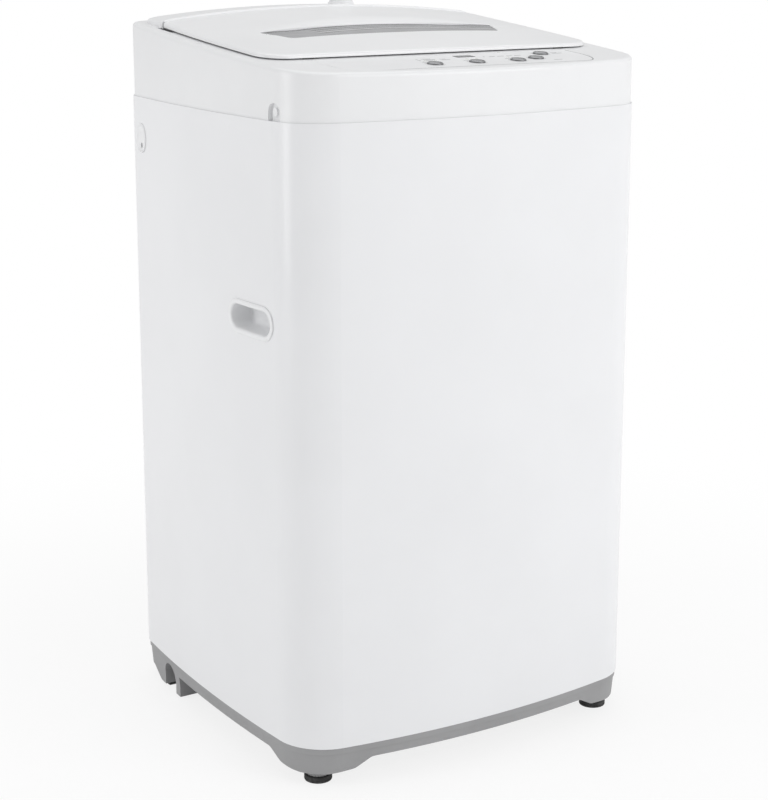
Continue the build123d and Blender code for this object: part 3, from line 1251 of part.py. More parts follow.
def make_gearbox():
    flange_z = PLATE_Z - GEARBOX_FLANGE
    body = disc(GEARBOX_RADIUS, GEARBOX_Z, flange_z)
    body += disc(GEARBOX_FLANGE_RADIUS, flange_z, PLATE_Z) - block(
        MOTOR_X - MOTOR_RADIUS - MOTOR_GAP, CASE_WIDTH, -CASE_DEPTH, CASE_DEPTH, 0, SEAM_Z)
    body += disc(NECK_RADIUS, PLATE_Z, TUB_Z - SEAT_GAP)
    cavity_z = GEARBOX_Z + BEARING_HEIGHT + GEARBOX_WALL
    body -= disc(GEARBOX_RADIUS - GEARBOX_WALL, cavity_z, flange_z - GEARBOX_WALL)
    body -= disc(BEARING_RADIUS, TUB_Z - SEAT_GAP - BEARING_HEIGHT, TUB_Z)
    body -= disc(SPIN_TUBE_RADIUS + SLIDE_GAP, flange_z - 2 * GEARBOX_WALL, TUB_Z)
    body -= disc(LOWER_BEARING_RADIUS, GEARBOX_Z, GEARBOX_Z + BEARING_HEIGHT)
    return body - disc(SHAFT_RADIUS + SLIDE_GAP, GEARBOX_Z, GEARBOX_Z + BEARING_HEIGHT + 2 * GEARBOX_WALL)


def make_shaft_bearings():
    upper_z = TUB_Z - SEAT_GAP - BEARING_HEIGHT
    upper = ring(BEARING_RADIUS, SPIN_TUBE_RADIUS + RUNNING_FIT, upper_z, upper_z + BEARING_HEIGHT)
    lower = ring(LOWER_BEARING_RADIUS, SHAFT_RADIUS + RUNNING_FIT, GEARBOX_Z, GEARBOX_Z + BEARING_HEIGHT)
    return Compound(children=[upper.solids()[0], lower.solids()[0]])


def make_tub_seal():
    return ring(SEAL_RADIUS, SPIN_TUBE_RADIUS + RUNNING_FIT, TUB_Z, TUB_FLOOR_TOP)


def make_motor():
    top = PLATE_Z
    body = disc(MOTOR_RADIUS, top - MOTOR_HEIGHT, top, MOTOR_X, 0)
    edges = body.edges().group_by(Axis.Z)[0]
    body = fillet(edges, MOTOR_LUG_RADIUS / 2)
    for x, y in motor_bolt_places():
        body += disc(MOTOR_LUG_RADIUS, top - 2 * MOTOR_LUG_RADIUS, top, x, y)
        body -= disc(SCREW_RADIUS + SEAT_GAP, top - 2 * MOTOR_LUG_RADIUS, top, x, y)
    low = top - MOTOR_HEIGHT
    return body - disc(MOTOR_SHAFT_RADIUS + RUNNING_FIT, low, top - MOTOR_HEIGHT / 2, MOTOR_X, 0)


def make_motor_bolts():
    bolts = []
    for x, y in motor_bolt_places():
        bolt = disc(SCREW_RADIUS, PLATE_Z - MOTOR_LUG_RADIUS, PLATE_TOP, x, y)
        bolt += disc(SCREW_HEAD_RADIUS, PLATE_TOP, PLATE_TOP + 3 * SCREW_HEAD, x, y)
        bolts += bolt.solids()
    return Compound(children=bolts)


def grooved_pulley(drum, shaft_radius, shaft_top, x):
    """A flat pulley with two flanges and its own shaft."""
    pulley = disc(drum, PULLEY_Z, PULLEY_TOP, x, 0)
    pulley += disc(drum + FLANGE_RISE, PULLEY_Z, PULLEY_Z + PULLEY_FLANGE, x, 0)
    pulley += disc(drum + FLANGE_RISE, PULLEY_TOP - PULLEY_FLANGE, PULLEY_TOP, x, 0)
    return pulley + disc(shaft_radius, PULLEY_Z - PULLEY_FLANGE, shaft_top, x, 0)


def make_drive_pulley():
    pulley = grooved_pulley(DRIVE_DRUM, SHAFT_RADIUS, GEARBOX_Z + BEARING_HEIGHT + GEARBOX_WALL, 0)
    for spoke in range(PULLEY_SPOKES):
        hole = disc(DRIVE_DRUM / 4, PULLEY_Z, PULLEY_TOP, DRIVE_DRUM * SPOKE_HOLE_SHARE, 0)
        pulley -= Rot(0, 0, 360 * spoke / PULLEY_SPOKES) * hole
    return pulley


def make_motor_pulley():
    shaft_top = PLATE_Z - MOTOR_HEIGHT + MOTOR_SHAFT_GRIP
    return grooved_pulley(MOTOR_DRUM, MOTOR_SHAFT_RADIUS, shaft_top, MOTOR_X)


def belt_plan(grow):
    """Outline of a belt that runs round both pulleys."""
    drive = Circle(DRIVE_DRUM + grow)
    motor = Pos(MOTOR_X, 0) * Circle(MOTOR_DRUM + grow)
    return make_hull(drive.edges() + motor.edges())


def make_drive_belt():
    low = PULLEY_Z + PULLEY_FLANGE + SLIDE_GAP
    high = PULLEY_TOP - PULLEY_FLANGE - SLIDE_GAP
    return upright(belt_plan(SLIDE_GAP + BELT) - belt_plan(SLIDE_GAP), low, high)


# Basket and pulsator
def make_basket():
    basket = disc(BASKET_RADIUS, BASKET_Z, BASKET_TOP)
    basket -= disc(BASKET_RADIUS - BASKET_WALL, BASKET_Z + BASKET_WALL, BASKET_TOP)
    basket -= disc(SPIN_TUBE_RADIUS, BASKET_Z, BASKET_Z + BASKET_WALL)
    rise = (BASKET_TOP - BASKET_Z) / (BASKET_HOLE_ROWS + 1)
    drill = rod_along_x(BASKET_HOLE_RADIUS, BASKET_RADIUS - 4 * BASKET_WALL, BASKET_RADIUS + BASKET_WALL, 0, 0)
    holes = []
    for row in range(BASKET_HOLE_ROWS):
        z = BASKET_Z + rise * (row + 1)
        for hole in range(BASKET_HOLES_PER_ROW):
            turn = 360 * (hole + row % 2 / 2) / BASKET_HOLES_PER_ROW
            holes.append(Pos(0, 0, z) * Rot(0, 0, turn) * drill)
    return basket - holes


def make_balance_ring():
    outer = BASKET_RADIUS + BASKET_WALL
    body = ring(outer, outer - BALANCE_WIDTH, BASKET_TOP, BALANCE_TOP)
    edges = body.edges().group_by(Axis.Z)[-1]
    return fillet(edges, BALANCE_WIDTH / 5)


def make_basket_hub():
    flange_z = BASKET_Z - HUB_PLATE
    tube_low = PLATE_Z - GEARBOX_FLANGE - GEARBOX_WALL
    hub = disc(HUB_RADIUS, flange_z, BASKET_Z) + disc(SPIN_TUBE_RADIUS, tube_low, BASKET_Z + BASKET_WALL)
    return hub - disc(SHAFT_RADIUS + RUNNING_FIT, tube_low, BASKET_Z + 2 * BASKET_WALL)


def make_lint_filter():
    inner = BASKET_RADIUS - BASKET_WALL - SEAT_GAP
    z = BASKET_Z + FILTER_RISE
    slab = ring(inner, inner - FILTER_DEPTH, z, z + FILTER_HEIGHT)
    return slab & block(-FILTER_WIDTH / 2, FILTER_WIDTH / 2, 0, CASE_DEPTH, z, z + FILTER_HEIGHT)


def make_pulsator():
    radius = BASKET_RADIUS - BASKET_WALL - PULSATOR_MARGIN
    body = disc(radius, PULSATOR_Z, PULSATOR_Z + PULSATOR_DISC)
    cone_middle = PULSATOR_Z + PULSATOR_DISC + PULSATOR_CONE / 2
    body += Pos(0, 0, cone_middle) * Cone(radius / 3, radius / 8, PULSATOR_CONE)
    vane = Pos(radius * VANE_MIDDLE_SHARE, 0, PULSATOR_Z + PULSATOR_DISC) * Rot(0, 90, 0) * Cylinder(
        PULSATOR_VANE_HEIGHT, radius * VANE_LENGTH_SHARE)
    half = PULSATOR_VANE_WIDTH / 2
    vane &= block(0, radius, -half, half, PULSATOR_Z + PULSATOR_DISC / 2, SEAM_Z)
    for step in range(PULSATOR_VANES):
        body += Rot(0, 0, 360 * step / PULSATOR_VANES) * vane
    return body - disc(SHAFT_RADIUS, PULSATOR_Z, cone_middle)


def make_pulsator_shaft():
    low = GEARBOX_Z + BEARING_HEIGHT + 3 * GEARBOX_WALL
    return disc(SHAFT_RADIUS, low, PULSATOR_Z + PULSATOR_DISC + PULSATOR_CONE / 2)


# Pump and drain
def make_drain_pump():
    body = disc(PUMP_MOTOR_RADIUS, BASE_FLOOR_TOP, PUMP_BOWL_Z, PUMP_X, PUMP_Y)
    body += disc(PUMP_RADIUS, PUMP_BOWL_Z, PUMP_BOWL_TOP, PUMP_X, PUMP_Y)
    body += disc(PUMP_PORT_RADIUS, PUMP_BOWL_TOP, PUMP_PORT_TOP, PUMP_X, PUMP_Y)
    port_y = PUMP_Y + PUMP_RADIUS + PUMP_INLET / 2
    body += rod_along_y(OUTLET_RADIUS, PUMP_Y, port_y, PUMP_X, OUTLET_Z)
    roof = PUMP_BOWL_TOP - PUMP_WALL
    body -= disc(PUMP_RADIUS - PUMP_WALL, PUMP_BOWL_Z + PUMP_WALL, roof, PUMP_X, PUMP_Y)
    body -= disc(PUMP_PORT_RADIUS - BELLOWS_WALL, roof, PUMP_PORT_TOP, PUMP_X, PUMP_Y)
    body -= rod_along_y(OUTLET_BORE, PUMP_Y, port_y, PUMP_X, OUTLET_Z)
    socket_z = BASE_FLOOR_TOP + PUMP_WALL
    return body - disc(IMPELLER_SHAFT + RUNNING_FIT, socket_z, PUMP_BOWL_TOP, PUMP_X, PUMP_Y)


def make_pump_impeller():
    low = PUMP_BOWL_Z + PUMP_WALL + 2 * SLIDE_GAP
    high = PUMP_BOWL_TOP - PUMP_WALL - 2 * SLIDE_GAP
    plate = PUMP_WALL / 2
    body = disc(IMPELLER_RADIUS, low, low + plate, PUMP_X, PUMP_Y)
    for step in range(IMPELLER_VANES):
        vane = block(0, IMPELLER_RADIUS - plate, -plate / 2, plate / 2, low, high)
        body += Pos(PUMP_X, PUMP_Y, 0) * Rot(0, 0, 360 * step / IMPELLER_VANES) * vane
    return body + disc(IMPELLER_SHAFT, BASE_FLOOR_TOP + 2 * PUMP_WALL, high, PUMP_X, PUMP_Y)


def make_sump_bellows():
    low = PUMP_PORT_TOP
    high = TUB_Z - SUMP_SPIGOT
    body = disc(PUMP_PORT_RADIUS, low, high, PUMP_X, PUMP_Y)
    pitch = (high - low) / BELLOWS_RIBS
    for rib in range(BELLOWS_RIBS):
        z = low + pitch * (rib + 0.5)
        body += disc(PUMP_PORT_RADIUS + BELLOWS_RIB, z - pitch / 4, z + pitch / 4, PUMP_X, PUMP_Y)
    return body - disc(PUMP_PORT_RADIUS - BELLOWS_WALL, low, high, PUMP_X, PUMP_Y)


def make_drain_hose():
    front = PUMP_Y + PUMP_RADIUS + PUMP_INLET / 2
    rear = PANEL_OUTER_Y - OUTLET_POCKET_DEPTH - 3 * PANEL_SHEET
    hose = rod_along_y(OUTLET_RADIUS + DRAIN_HOSE_WALL, front, rear, PUMP_X, OUTLET_Z)
    return hose - rod_along_y(OUTLET_BORE, front, rear, PUMP_X, OUTLET_Z)


def make_capacitor():
    body = disc(CAPACITOR_RADIUS, BASE_FLOOR_TOP, BASE_FLOOR_TOP + CAPACITOR_HEIGHT, CAPACITOR_X, CAPACITOR_Y)
    return fillet(body.edges().group_by(Axis.Z)[-1], CAPACITOR_RADIUS / 6)


def make_pieces():
    """Every piece of the machine by name."""
    right_handle = make_handle()
    pieces = {
        "cabinet": make_cabinet(),
        "rear_panel": make_rear_panel(),
        "case_screws": make_case_screws(),
        "base": make_base(),
        "rear_foot_pads": make_rear_foot_pads(),
        "left_foot_stud": make_foot_stud(-FOOT_X),
        "right_foot_stud": make_foot_stud(FOOT_X),
        "left_foot_pad": make_foot_pad(-FOOT_X),
        "right_foot_pad": make_foot_pad(FOOT_X),
        "left_handle": mirror(right_handle, about=Plane.YZ),
        "right_handle": right_handle,
        "hose_hook": make_hose_hook(),
        "top_frame": make_top_frame(),
        "control_overlay": make_control_overlay(),
        "display_window": display_block(0, -DECK_NORMAL, 0),
        "indicator_lights": make_indicator_lights(),
        "control_board": make_control_board(),
        "rear_cover": make_rear_cover(),
        "inlet_valve": make_inlet_valve(),
        "fill_spout": make_fill_spout(),
        "pressure_sensor": make_pressure_sensor(),
        "pressure_hose": make_pressure_hose(),
        "lid_switch": make_lid_switch(),
        "cord_gland": make_cord_gland(),
        "drain_outlet": make_drain_outlet(),
        "drain_pump": make_drain_pump(),
        "pump_impeller": make_pump_impeller(),
        "drain_hose": make_drain_hose(),
        "sump_bellows": make_sump_bellows(),
        "capacitor": make_capacitor(),
        "corner_brackets": make_corner_brackets(),
        "suspension_rods": make_suspension_rods(),
        "suspension_springs": make_suspension_springs(),
        "suspension_cups": make_suspension_cups(),
        "hinge_pins": make_hinge_pins(),
        "lid": make_lid(),
        "lid_window": make_lid_window(),
        "lid_buffers": make_lid_buffers(),
        "outer_tub": make_outer_tub(),
        "tub_ring": make_tub_ring(),
        "tub_seal": make_tub_seal(),
        "drive_plate": make_drive_plate(),
        "gearbox": make_gearbox(),
        "shaft_bearings": make_shaft_bearings(),
        "motor": make_motor(),
        "motor_bolts": make_motor_bolts(),
        "drive_belt": make_drive_belt(),
        "drive_pulley": make_drive_pulley(),
        "motor_pulley": make_motor_pulley(),
        "basket": make_basket(),
        "balance_ring": make_balance_ring(),
        "basket_hub": make_basket_hub(),
        "lint_filter": make_lint_filter(),
        "pulsator": make_pulsator(),
        "pulsator_shaft": make_pulsator_shaft(),
    }
    for name, place in BUTTON_PLACES.items():
        pieces[name] = make_button(*place)
    return pieces


def main():
    os.makedirs("parts", exist_ok=True)
    for name, piece in make_pieces().items():
        export_step(piece, f"parts/{name}.step")


main()
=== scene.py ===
"""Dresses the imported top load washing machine: worked surfaces for mouldings and a finish for every node."""
import json
import math

import bmesh
import bpy
import mathutils
import numpy as np
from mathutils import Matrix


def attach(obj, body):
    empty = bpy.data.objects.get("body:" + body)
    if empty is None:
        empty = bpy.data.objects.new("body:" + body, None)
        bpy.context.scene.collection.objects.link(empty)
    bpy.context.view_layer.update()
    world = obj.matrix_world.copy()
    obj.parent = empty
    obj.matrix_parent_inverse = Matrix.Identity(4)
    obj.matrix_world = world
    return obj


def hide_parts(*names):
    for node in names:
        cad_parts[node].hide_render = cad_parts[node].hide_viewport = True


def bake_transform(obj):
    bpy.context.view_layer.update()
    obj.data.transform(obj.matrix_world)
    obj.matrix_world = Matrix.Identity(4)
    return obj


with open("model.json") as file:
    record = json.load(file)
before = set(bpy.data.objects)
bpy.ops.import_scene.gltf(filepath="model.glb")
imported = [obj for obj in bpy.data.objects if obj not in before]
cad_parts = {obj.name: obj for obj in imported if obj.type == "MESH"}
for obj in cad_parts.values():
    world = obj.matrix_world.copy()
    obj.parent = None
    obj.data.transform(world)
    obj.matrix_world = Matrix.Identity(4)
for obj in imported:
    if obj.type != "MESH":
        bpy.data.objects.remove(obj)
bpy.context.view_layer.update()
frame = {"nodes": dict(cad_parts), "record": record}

MM = 0.001
MELT = 0.000002
MIRROR_X = np.array([-1.0, 1.0])

# Case and deck, in millimetres
HALF_WIDTH = 215.0
SIDE_RADIUS = 1791.3
DECK_FRONT = -196.0
DECK_LOW = 711.0
DECK_SLOPE = 0.085

# Lid
LID_FRONT = -103.0
LID_REAR = 128.5
LID_SIDE_INSET = 16.5
LID_CORNER = 28.0
LID_REAR_CORNER = 4.0
LID_EDGE = 5.0
LID_EDGE_GAIN = 2.5
LID_CROWN = 11.3
LID_CROWN_LEAST = 0.3
LID_CROWN_HALF = 193.84
LID_ROUND = 3.2
LID_WALL = 2.5
LID_GAP = 1.4
LID_FOOT_INSET = 0.4
LID_WALL_RUN = 8.0
LID_TOP_SPREAD = 1.2
LID_SKIRT_SHARES = (0.5, 0.9)
HINGE_Y = 112.5
HINGE_Z = 743.6825
KNUCKLE_RADIUS = 6.0
KNUCKLE_HALF = 6.0
KNUCKLE_PLACES = (-134.3, -105.7, 105.7, 134.3)
KNUCKLE_SINK = 1.2
KNUCKLE_LIFT = 1.5
KNUCKLE_SIZES = (0, 0.94, 1, 1, 0.94, 0)
KNUCKLE_STATIONS = (-1, -1, -0.93, 0.93, 1, 1)

# Front edge of the rear cover, its section as (back, up) from the lid's rear edge
SEAM_GAP = 0.4
SEAM_HALF = 192.0
SEAM_TAPER = 0.03
SEAM_END_SHARE = 0.3
SEAM_SECTION = (
    (0, -2.2), (0, 0.6), (0.25, 1.1), (0.7, 1.5), (1.3, 1.6), (3, 1.45), (6, 0.9), (10, 0.2),
    (12, -0.4), (12, -2.2),
)

# Window in the lid, its lines of painted shade and painted highlight as (distance from the back edge, half
# width), and the lip behind it
WINDOW_MIDDLE = 2.0
WINDOW_FRONT = -29.0
WINDOW_REAR = 33.0
WINDOW_TIP_X = 142.0
WINDOW_TIP_Y = 12.0
WINDOW_FRONT_HALF = 126.0
WINDOW_CORNER = 7.0
WINDOW_FRONT_DEPTH = 0.3
WINDOW_REAR_DEPTH = 4.5
WINDOW_END_RUN = 50.0
WINDOW_END_SHARE = 0.88
WINDOW_SHEET = 2.5
WINDOW_LAP = 1.5
WINDOW_GAP = 0.05
RIDGE_DEPTH = 0.35
RIDGE_PITCH = 5.5
RIDGE_START = 1.0
RIDGE_START_RUN = 2.0
RIDGE_END = 23.0
RIDGE_END_RUN = 3.0
LIP_RUN = 22.0
LIP_DROP = 3.5
LIP_POWER = 1.5
LIP_START = 20.0
LIP_START_RUN = 14.0
EDGE_SHADOW_LINE = (4.0, 2.2)
SHADE_LINES = ((15.0, 2.0), (26.0, 1.8), (36.0, 1.4))
HIGHLIGHT_LINES = ((9.5, 1.4), (20.5, 1.6), (31.0, 1.6))
LINE_FADE = (-88.0, -78.0)
HOLE_ROUND = 1.2
HOLE_STEPS = (0.0, 0.06, 0.25, 0.6, 1.2)

# Controls
BUTTONS = {
    "power_button": (106.5, -130),
    "start_button": (83, -154),
    "cycle_button": (56, -161),
    "level_button": (6.5, -161),
    "delay_button": (-43, -161),
}
BUTTON_HOLE = 8.35
DISH_RADIUS = 5.3
DISH_LOW = 1.1
DISH_RISE = 0.35
BUTTON_SECTION = (
    (5.55, 1.35), (5.7, 1.05), (6.2, 1), (6.4, 1.3), (6.6, 1.68), (6.9, 1.8), (7.25, 1.76), (7.6, 1.56),
    (7.86, 1.22), (8, 0.8), (8, 0), (8, -3.4), (9.4, -3.45), (9.4, -4.7), (2.7, -4.8), (2.7, -6.2),
    (0, -6.2),
)
DISPLAY_PLACE = (15.0, -125.0)
DISPLAY_SIZE = (22.0, 11.0)
DISPLAY_RISE = 0.25
DISPLAY_SQUARE = 14
DISPLAY_SECTION = ((0, 1), (0.9, 1), (0.96, 0.95), (0.99, 0.75), (1, 0.3), (1, -1), (0, -1))
LIGHTS = ((-43, -143), (-31, -143), (6.5, -143), (18.5, -143), (56, -143), (67, -112))
LENS_RADIUS = 1.7
LENS_RISE = 0.7
LENS_LOW = 0.15
LENS_EDGE = ((1.75, 0.1), (1.75, -0.6), (0, -0.6))

# Fascia sheet
SHEET_HALF = 152.0
SHEET_NOSE = 127.0
SHEET_FRONT = -183.0
SHEET_REAR = -110.0
SHEET_RISE = 45.0
SHEET_REAR_CORNER = 3.0
SHEET_PITCH = 2.0
SHEET_PROUD = 0.04
SHEET_SUNK = -0.5
HOLE_BLOCK_HALF = 11.0
HOLE_BLOCK_SLACK = 0.5
HOLE_BLOCK_SHARES = (0.0, 0.3, 0.65, 1.0)

# Marks printed on the fascia sheet: bars as (left, right, front, back) and dots as (x, y)
MARKS = (
    (-40, -31, -140.6, -138.8), (-40, -27, -136.2, -134.4), (-40, -29, -131.8, -130),
    (-21, -11, -140.6, -138.8), (-21, -14, -136.2, -134.4), (40, 47, -134.4, -132.4),
    (50, 58, -134.4, -132.4), (61, 68, -134.4, -132.4), (71, 79, -134.4, -132.4),
    (121, 133, -131.4, -129.4), (96, 106, -168.2, -166.2), (121, 129, -127.4, -125.8),
    (-1, 14, -149.2, -147.4), (49, 63, -149.2, -147.4), (-50, -36, -149.2, -147.4),
)
DOTS = ((-46, -139), (-46, -135.6), (-46, -132.2), (-28, -139), (-28, -135.6), (34, -132.7))
DOT_REACH = 1.4
INK_SHARE = 0.85
BORDER_IN = 1.7
BORDER_HALF = 0.7
BORDER_FADE = (-125.0, -85.0)
BORDER_BACK = -113.0
RING_REACH = 96.0
RING_HALF = 9.0
RING_SHARE = 0.22

# Carry handles, their section as (inset, out) from the case's side
HANDLE_Y = -93.0
HANDLE_Z = 468.5
HANDLE_LENGTH = 84.0
HANDLE_HEIGHT = 35.0
HANDLE_SECTION = (
    (17.5, -22), (12, -22), (8.4, -21.9), (7, -21.2), (6.2, -19.6), (5.9, -16), (5.8, -8),
    (5.75, -0.8), (5.5, 0.3), (5, 1.05), (4.2, 1.5), (3.4, 1.6), (1.5, 1.6), (0.8, 1.45), (0.3, 1.1),
    (0.05, 0.6), (0, 0.1), (3.7, 0.1), (3.8, -0.4), (3.8, -23.4), (4.6, -24), (17.5, -24),
)

# Hose hook plate, its section as (radius, share added of the way from hole to oval, out)
HOOK_Y = 158.0
HOOK_Z = 614.0
HOOK_HALF_WIDE = 13.0
HOOK_HALF_TALL = 16.0
HOOK_DROP = 8.0
HOOK_HOLE = 3.0
HOOK_SECTION = (
    (0, 0, -6), (3, 0, -6), (3, 0, 0.2), (3, 0.02, 0.3), (3, 0.10, 0.35), (3, 0.58, 0.3),
    (3, 0.66, 0.5), (3, 0.72, 1.2), (3, 0.80, 1.5), (3, 0.92, 1.4), (3, 0.985, 0.9), (3, 1, 0.12),
    (3, 0.35, 0.1), (4.9, 0, -0.4), (4.9, 0, -7.6), (0, 0, -7.9),
)

# Front feet, the collar as (radius, height, depth of its ridges) and the pad as (radius, height)
FOOT_X = 175.6
FOOT_Y = -154.0
COLLAR_RIDGES = 24
COLLAR_SECTION = (
    (0, 7, 0), (12, 7, 0.3), (12.5, 7.5, 0.55), (12.55, 10.4, 0.55), (12.5, 13.2, 0.55),
    (12, 13.68, 0.3), (5, 13.7, 0),
)
STUD_RADIUS = 4.95
STUD_LOW = 13.9
STUD_HIGH = 39.2
STUD_END = 39.5
STUD_END_RADIUS = 4.4
STUD_PITCH = 1.5
STUD_THREAD = 0.45
PAD_SECTION = (
    (0, 0.7), (9.5, 0.7), (10.5, 0.05), (13.2, 0), (14, 0.4), (14.3, 1.2), (14.3, 2.4), (13.8, 2.8),
    (13.8, 3.3), (14.3, 3.7), (14.3, 5.2), (13.9, 6.3), (12.9, 7), (0, 7),
)

# Water inlet, its bore and neck as (radius, height) and its block as (share, height)
INLET_X = 45.0
INLET_Y = 165.0
INLET_RADIUS = 13.15
INLET_HIGH = 783.6
INLET_LOW = 761.2
INLET_FADE_LOW = 761.0
INLET_FADE_RUN = 1.5
INLET_PITCH = 1.8
INLET_THREAD = 0.85
INLET_BORE = ((0, 738), (9, 738), (9, 783.9), (9.5, 784.6), (11.6, 784.6), (12.3, 784.1))
INLET_NECK = ((13.15, 760.6), (13.2, 759.8), (14.3, 759.65), (14.5, 759.4), (14.5, 737.8))
INLET_BLOCK = ((0.97, 737.6), (0.995, 737.2), (0.995, 698), (0.97, 697.6), (0, 697.6))
BLOCK_HALF_X = 22.0
BLOCK_HALF_Y = 18.0
BLOCK_SQUARE = 10

# Pulsator
PULSATOR_Z = 240.0
PULSATOR_UNDER = 235.2
PULSATOR_FLAT = 150.0
PULSATOR_RIM = (151.4, 152.1, 152.3)
PULSATOR_BACK = (152.0, 140.0, 0.0)
RIM_FALL = 0.4
BELL_HEIGHT = 25.5
BELL_RADIUS = 52.0
BELL_RUN = 34.0
VANE_PAIRS = 3
VANE_HEIGHT = 13.5
VANE_HALF = 8.0
VANE_POWER = 0.75
VANE_START = 16.0
VANE_START_RUN = 22.0
VANE_END = 141.0
VANE_END_RUN = 18.0
RIPPLE_HEIGHT = 0.4
RIPPLE_LENGTH = 3.2
RIPPLE_START = 60.0
RIPPLE_RUN = 20.0

# Balance ring, its section as (radius, height, share of the ribs' depth)
RING_RIBS = 48
RIB_DEPTH = 0.9
RIB_POWER = 3
RING_SECTION = (
    (138.8, 598.1, 0), (138.8, 625, 0), (139.3, 628.2, 0), (140.8, 630.4, 0.2), (143.2, 631.7, 0.6),
    (146, 632, 1), (153.7, 632, 1), (161.5, 632, 1), (164.3, 631.7, 0.6), (166.7, 630.4, 0.2),
    (168.2, 628.2, 0), (168.6, 625, 0), (168.6, 598.1, 0),
)

# Tub's hanging and drain
ROD_X = 163.0
ROD_Y = 146.0
SPRING_LOW = 156.2
SPRING_HIGH = 231.4
SPRING_RADIUS = 10.5
SPRING_WIRE = 1.3
SPRING_TURNS = 7
BELLOWS_X = -95.0
BELLOWS_Y = 95.0
BELLOWS_LOW = 120.0
BELLOWS_HIGH = 190.0
BELLOWS_RADIUS = 16.0
BELLOWS_RIB = 4.0
BELLOWS_RIBS = 6
BELLOWS_BORE = 13.0
BELLOWS_POWER = 0.7

# Studio: the floor in millimetres, lamps as (name, place, aim, size, power) and the camera in metres
FLOOR_HALF = 9000.0
FLOOR_Z = -0.3
FLOOR_NEAR = 260.0
FLOOR_FAR = 1100.0
FLOOR_GLOW = 0.82
WORLD_LEVEL = 0.58
LAMPS = (
    ("key", (1.45, -2.65, 1.6), (0, 0, 0.45), (1.8, 2), 40),
    ("side", (-2.8, 0.45, 1.1), (0, 0, 0.4), (0.8, 2.4), 21),
    ("top", (0.2, 0.4, 2.6), (0, 0, 0.7), (1.8, 1.8), 13),
)
CAMERA_LENS = 83.831
CAMERA_SENSOR = 36.0
CAMERA_SHIFT = -0.08
CAMERA_PLACE = (-1.04613, -1.67196, 0.84614)
CAMERA_DIP = 0.21774
CAMERA_TURN = -0.55885

# Colours
CASE_WHITE = (0.83, 0.835, 0.85)
MOULD_WHITE = (0.83, 0.835, 0.845)
SHEET_WHITE = (0.82, 0.825, 0.835)
INK = (0.16, 0.165, 0.17)
BRIGHT_STEEL = (0.62, 0.62, 0.63)
ZINC_PLAIN = (0.60, 0.60, 0.60)
ZINC = (0.62, 0.62, 0.62)
ZINC_DULL = (0.50, 0.50, 0.51)
# Painted shade for the basket's drain holes
HOLE_SHADE = (0.05, 0.05, 0.055)
RUBBER_BLOOM = (0.075, 0.075, 0.075)
SILVER = (0.42, 0.425, 0.435)
SILVER_DULL = (0.26, 0.265, 0.275)
# Painted shade for the buttons' groove and foot
SILVER_SHADE = (0.16, 0.16, 0.165)
SMOKE = (0.44, 0.445, 0.455)
SMOKE_DULL = (0.39, 0.395, 0.405)
# Painted highlight and painted shade for the window's lines
HIGHLIGHT_PALE = (0.80, 0.805, 0.81)
SHADE_DARK = (0.07, 0.07, 0.075)
MASK_GREEN = (0.05, 0.22, 0.10)
MASK_DARK = (0.03, 0.16, 0.07)
MASK_PALE = (0.06, 0.25, 0.11)
PAD_TIN = (0.62, 0.60, 0.52)


def stack(*columns):
    """One array of points from arrays of x, y and z that spread to one shape."""
    return np.stack(np.broadcast_arrays(*columns), axis=-1).astype(float)


def around(count):
    """Angles of a full turn, with the last one short of the first."""
    return np.arange(count) * (2 * math.pi / count)


def ease(value):
    """Smooth step from 0 to 1: 3v squared less 2v cubed, held at both ends."""
    held = np.clip(value, 0.0, 1.0)
    return held * held * (3 - 2 * held)


def grid_faces(rows, columns, start, wrap_rows, wrap_columns):
    """Quads between neighbours of a grid of points whose first point has the number start."""
    index = start + np.arange(rows * columns).reshape(rows, columns)
    if wrap_rows:
        index = np.vstack([index, index[:1]])
    if wrap_columns:
        index = np.hstack([index, index[:, :1]])
    corners = [index[:-1, :-1], index[1:, :-1], index[1:, 1:], index[:-1, 1:]]
    return np.stack(corners, axis=-1).reshape(-1, 4)


def rounds(*grids):
    """Grids whose rows close round on themselves, as make_mesh takes them."""
    return [(grid, False, True) for grid in grids]


def make_mesh(name, grids, crease):
    """Mesh of several grids in millimetres: seams melted, faces turned outwards, edges sharp past crease."""
    points = []
    faces = []
    start = 0
    for grid, wrap_rows, wrap_columns in grids:
        rows, columns = grid.shape[:2]
        points.append(grid.reshape(-1, 3) * MM)
        faces.append(grid_faces(rows, columns, start, wrap_rows, wrap_columns))
        start += rows * columns
    mesh = bpy.data.meshes.new(name)
    mesh.from_pydata(np.vstack(points).tolist(), [], np.vstack(faces).tolist())
    form = bmesh.new()
    form.from_mesh(mesh)
    bmesh.ops.remove_doubles(form, verts=form.verts, dist=MELT)
    bmesh.ops.recalc_face_normals(form, faces=form.faces)
    form.to_mesh(mesh)
    form.free()
    mesh.polygons.foreach_set("use_smooth", np.ones(len(mesh.polygons), dtype=bool))
    mesh.set_sharp_from_angle(angle=math.radians(crease))
    return mesh


def make_piece(name, body, slot, nodes, grids, crease=40.0, stretch=None):
    """A piece that stands for CAD nodes: it rides on a body, or, when stretch is given, stays loose with its
    placement baked into its mesh.
    """
    mesh = make_mesh(name, grids, crease)
    mesh.materials.append(finishes[slot].material)
    piece = bpy.data.objects.new(name, mesh)
    bpy.context.scene.collection.objects.link(piece)
    if stretch:
        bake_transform(piece)
    else:
        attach(piece, body)
    if nodes:
        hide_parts(*nodes)
    return piece


def mark_points(piece, name, values):
    """Keeps one number for each of a piece's points, for its finish to read."""
    layer = piece.data.attributes.new(name, "FLOAT", "POINT")
    layer.data.foreach_set("value", values.astype(np.float32))


def points_of(piece):
    """The piece's points in millimetres, as one array."""
    flat = np.empty(3 * len(piece.data.vertices), dtype=np.float32)
    piece.data.vertices.foreach_get("co", flat)
    return flat.reshape(-1, 3).astype(float) / MM


def columns(section):
    """A section's rows as upright columns, one for each place in a row."""
    return np.array(section).T[:, :, None]


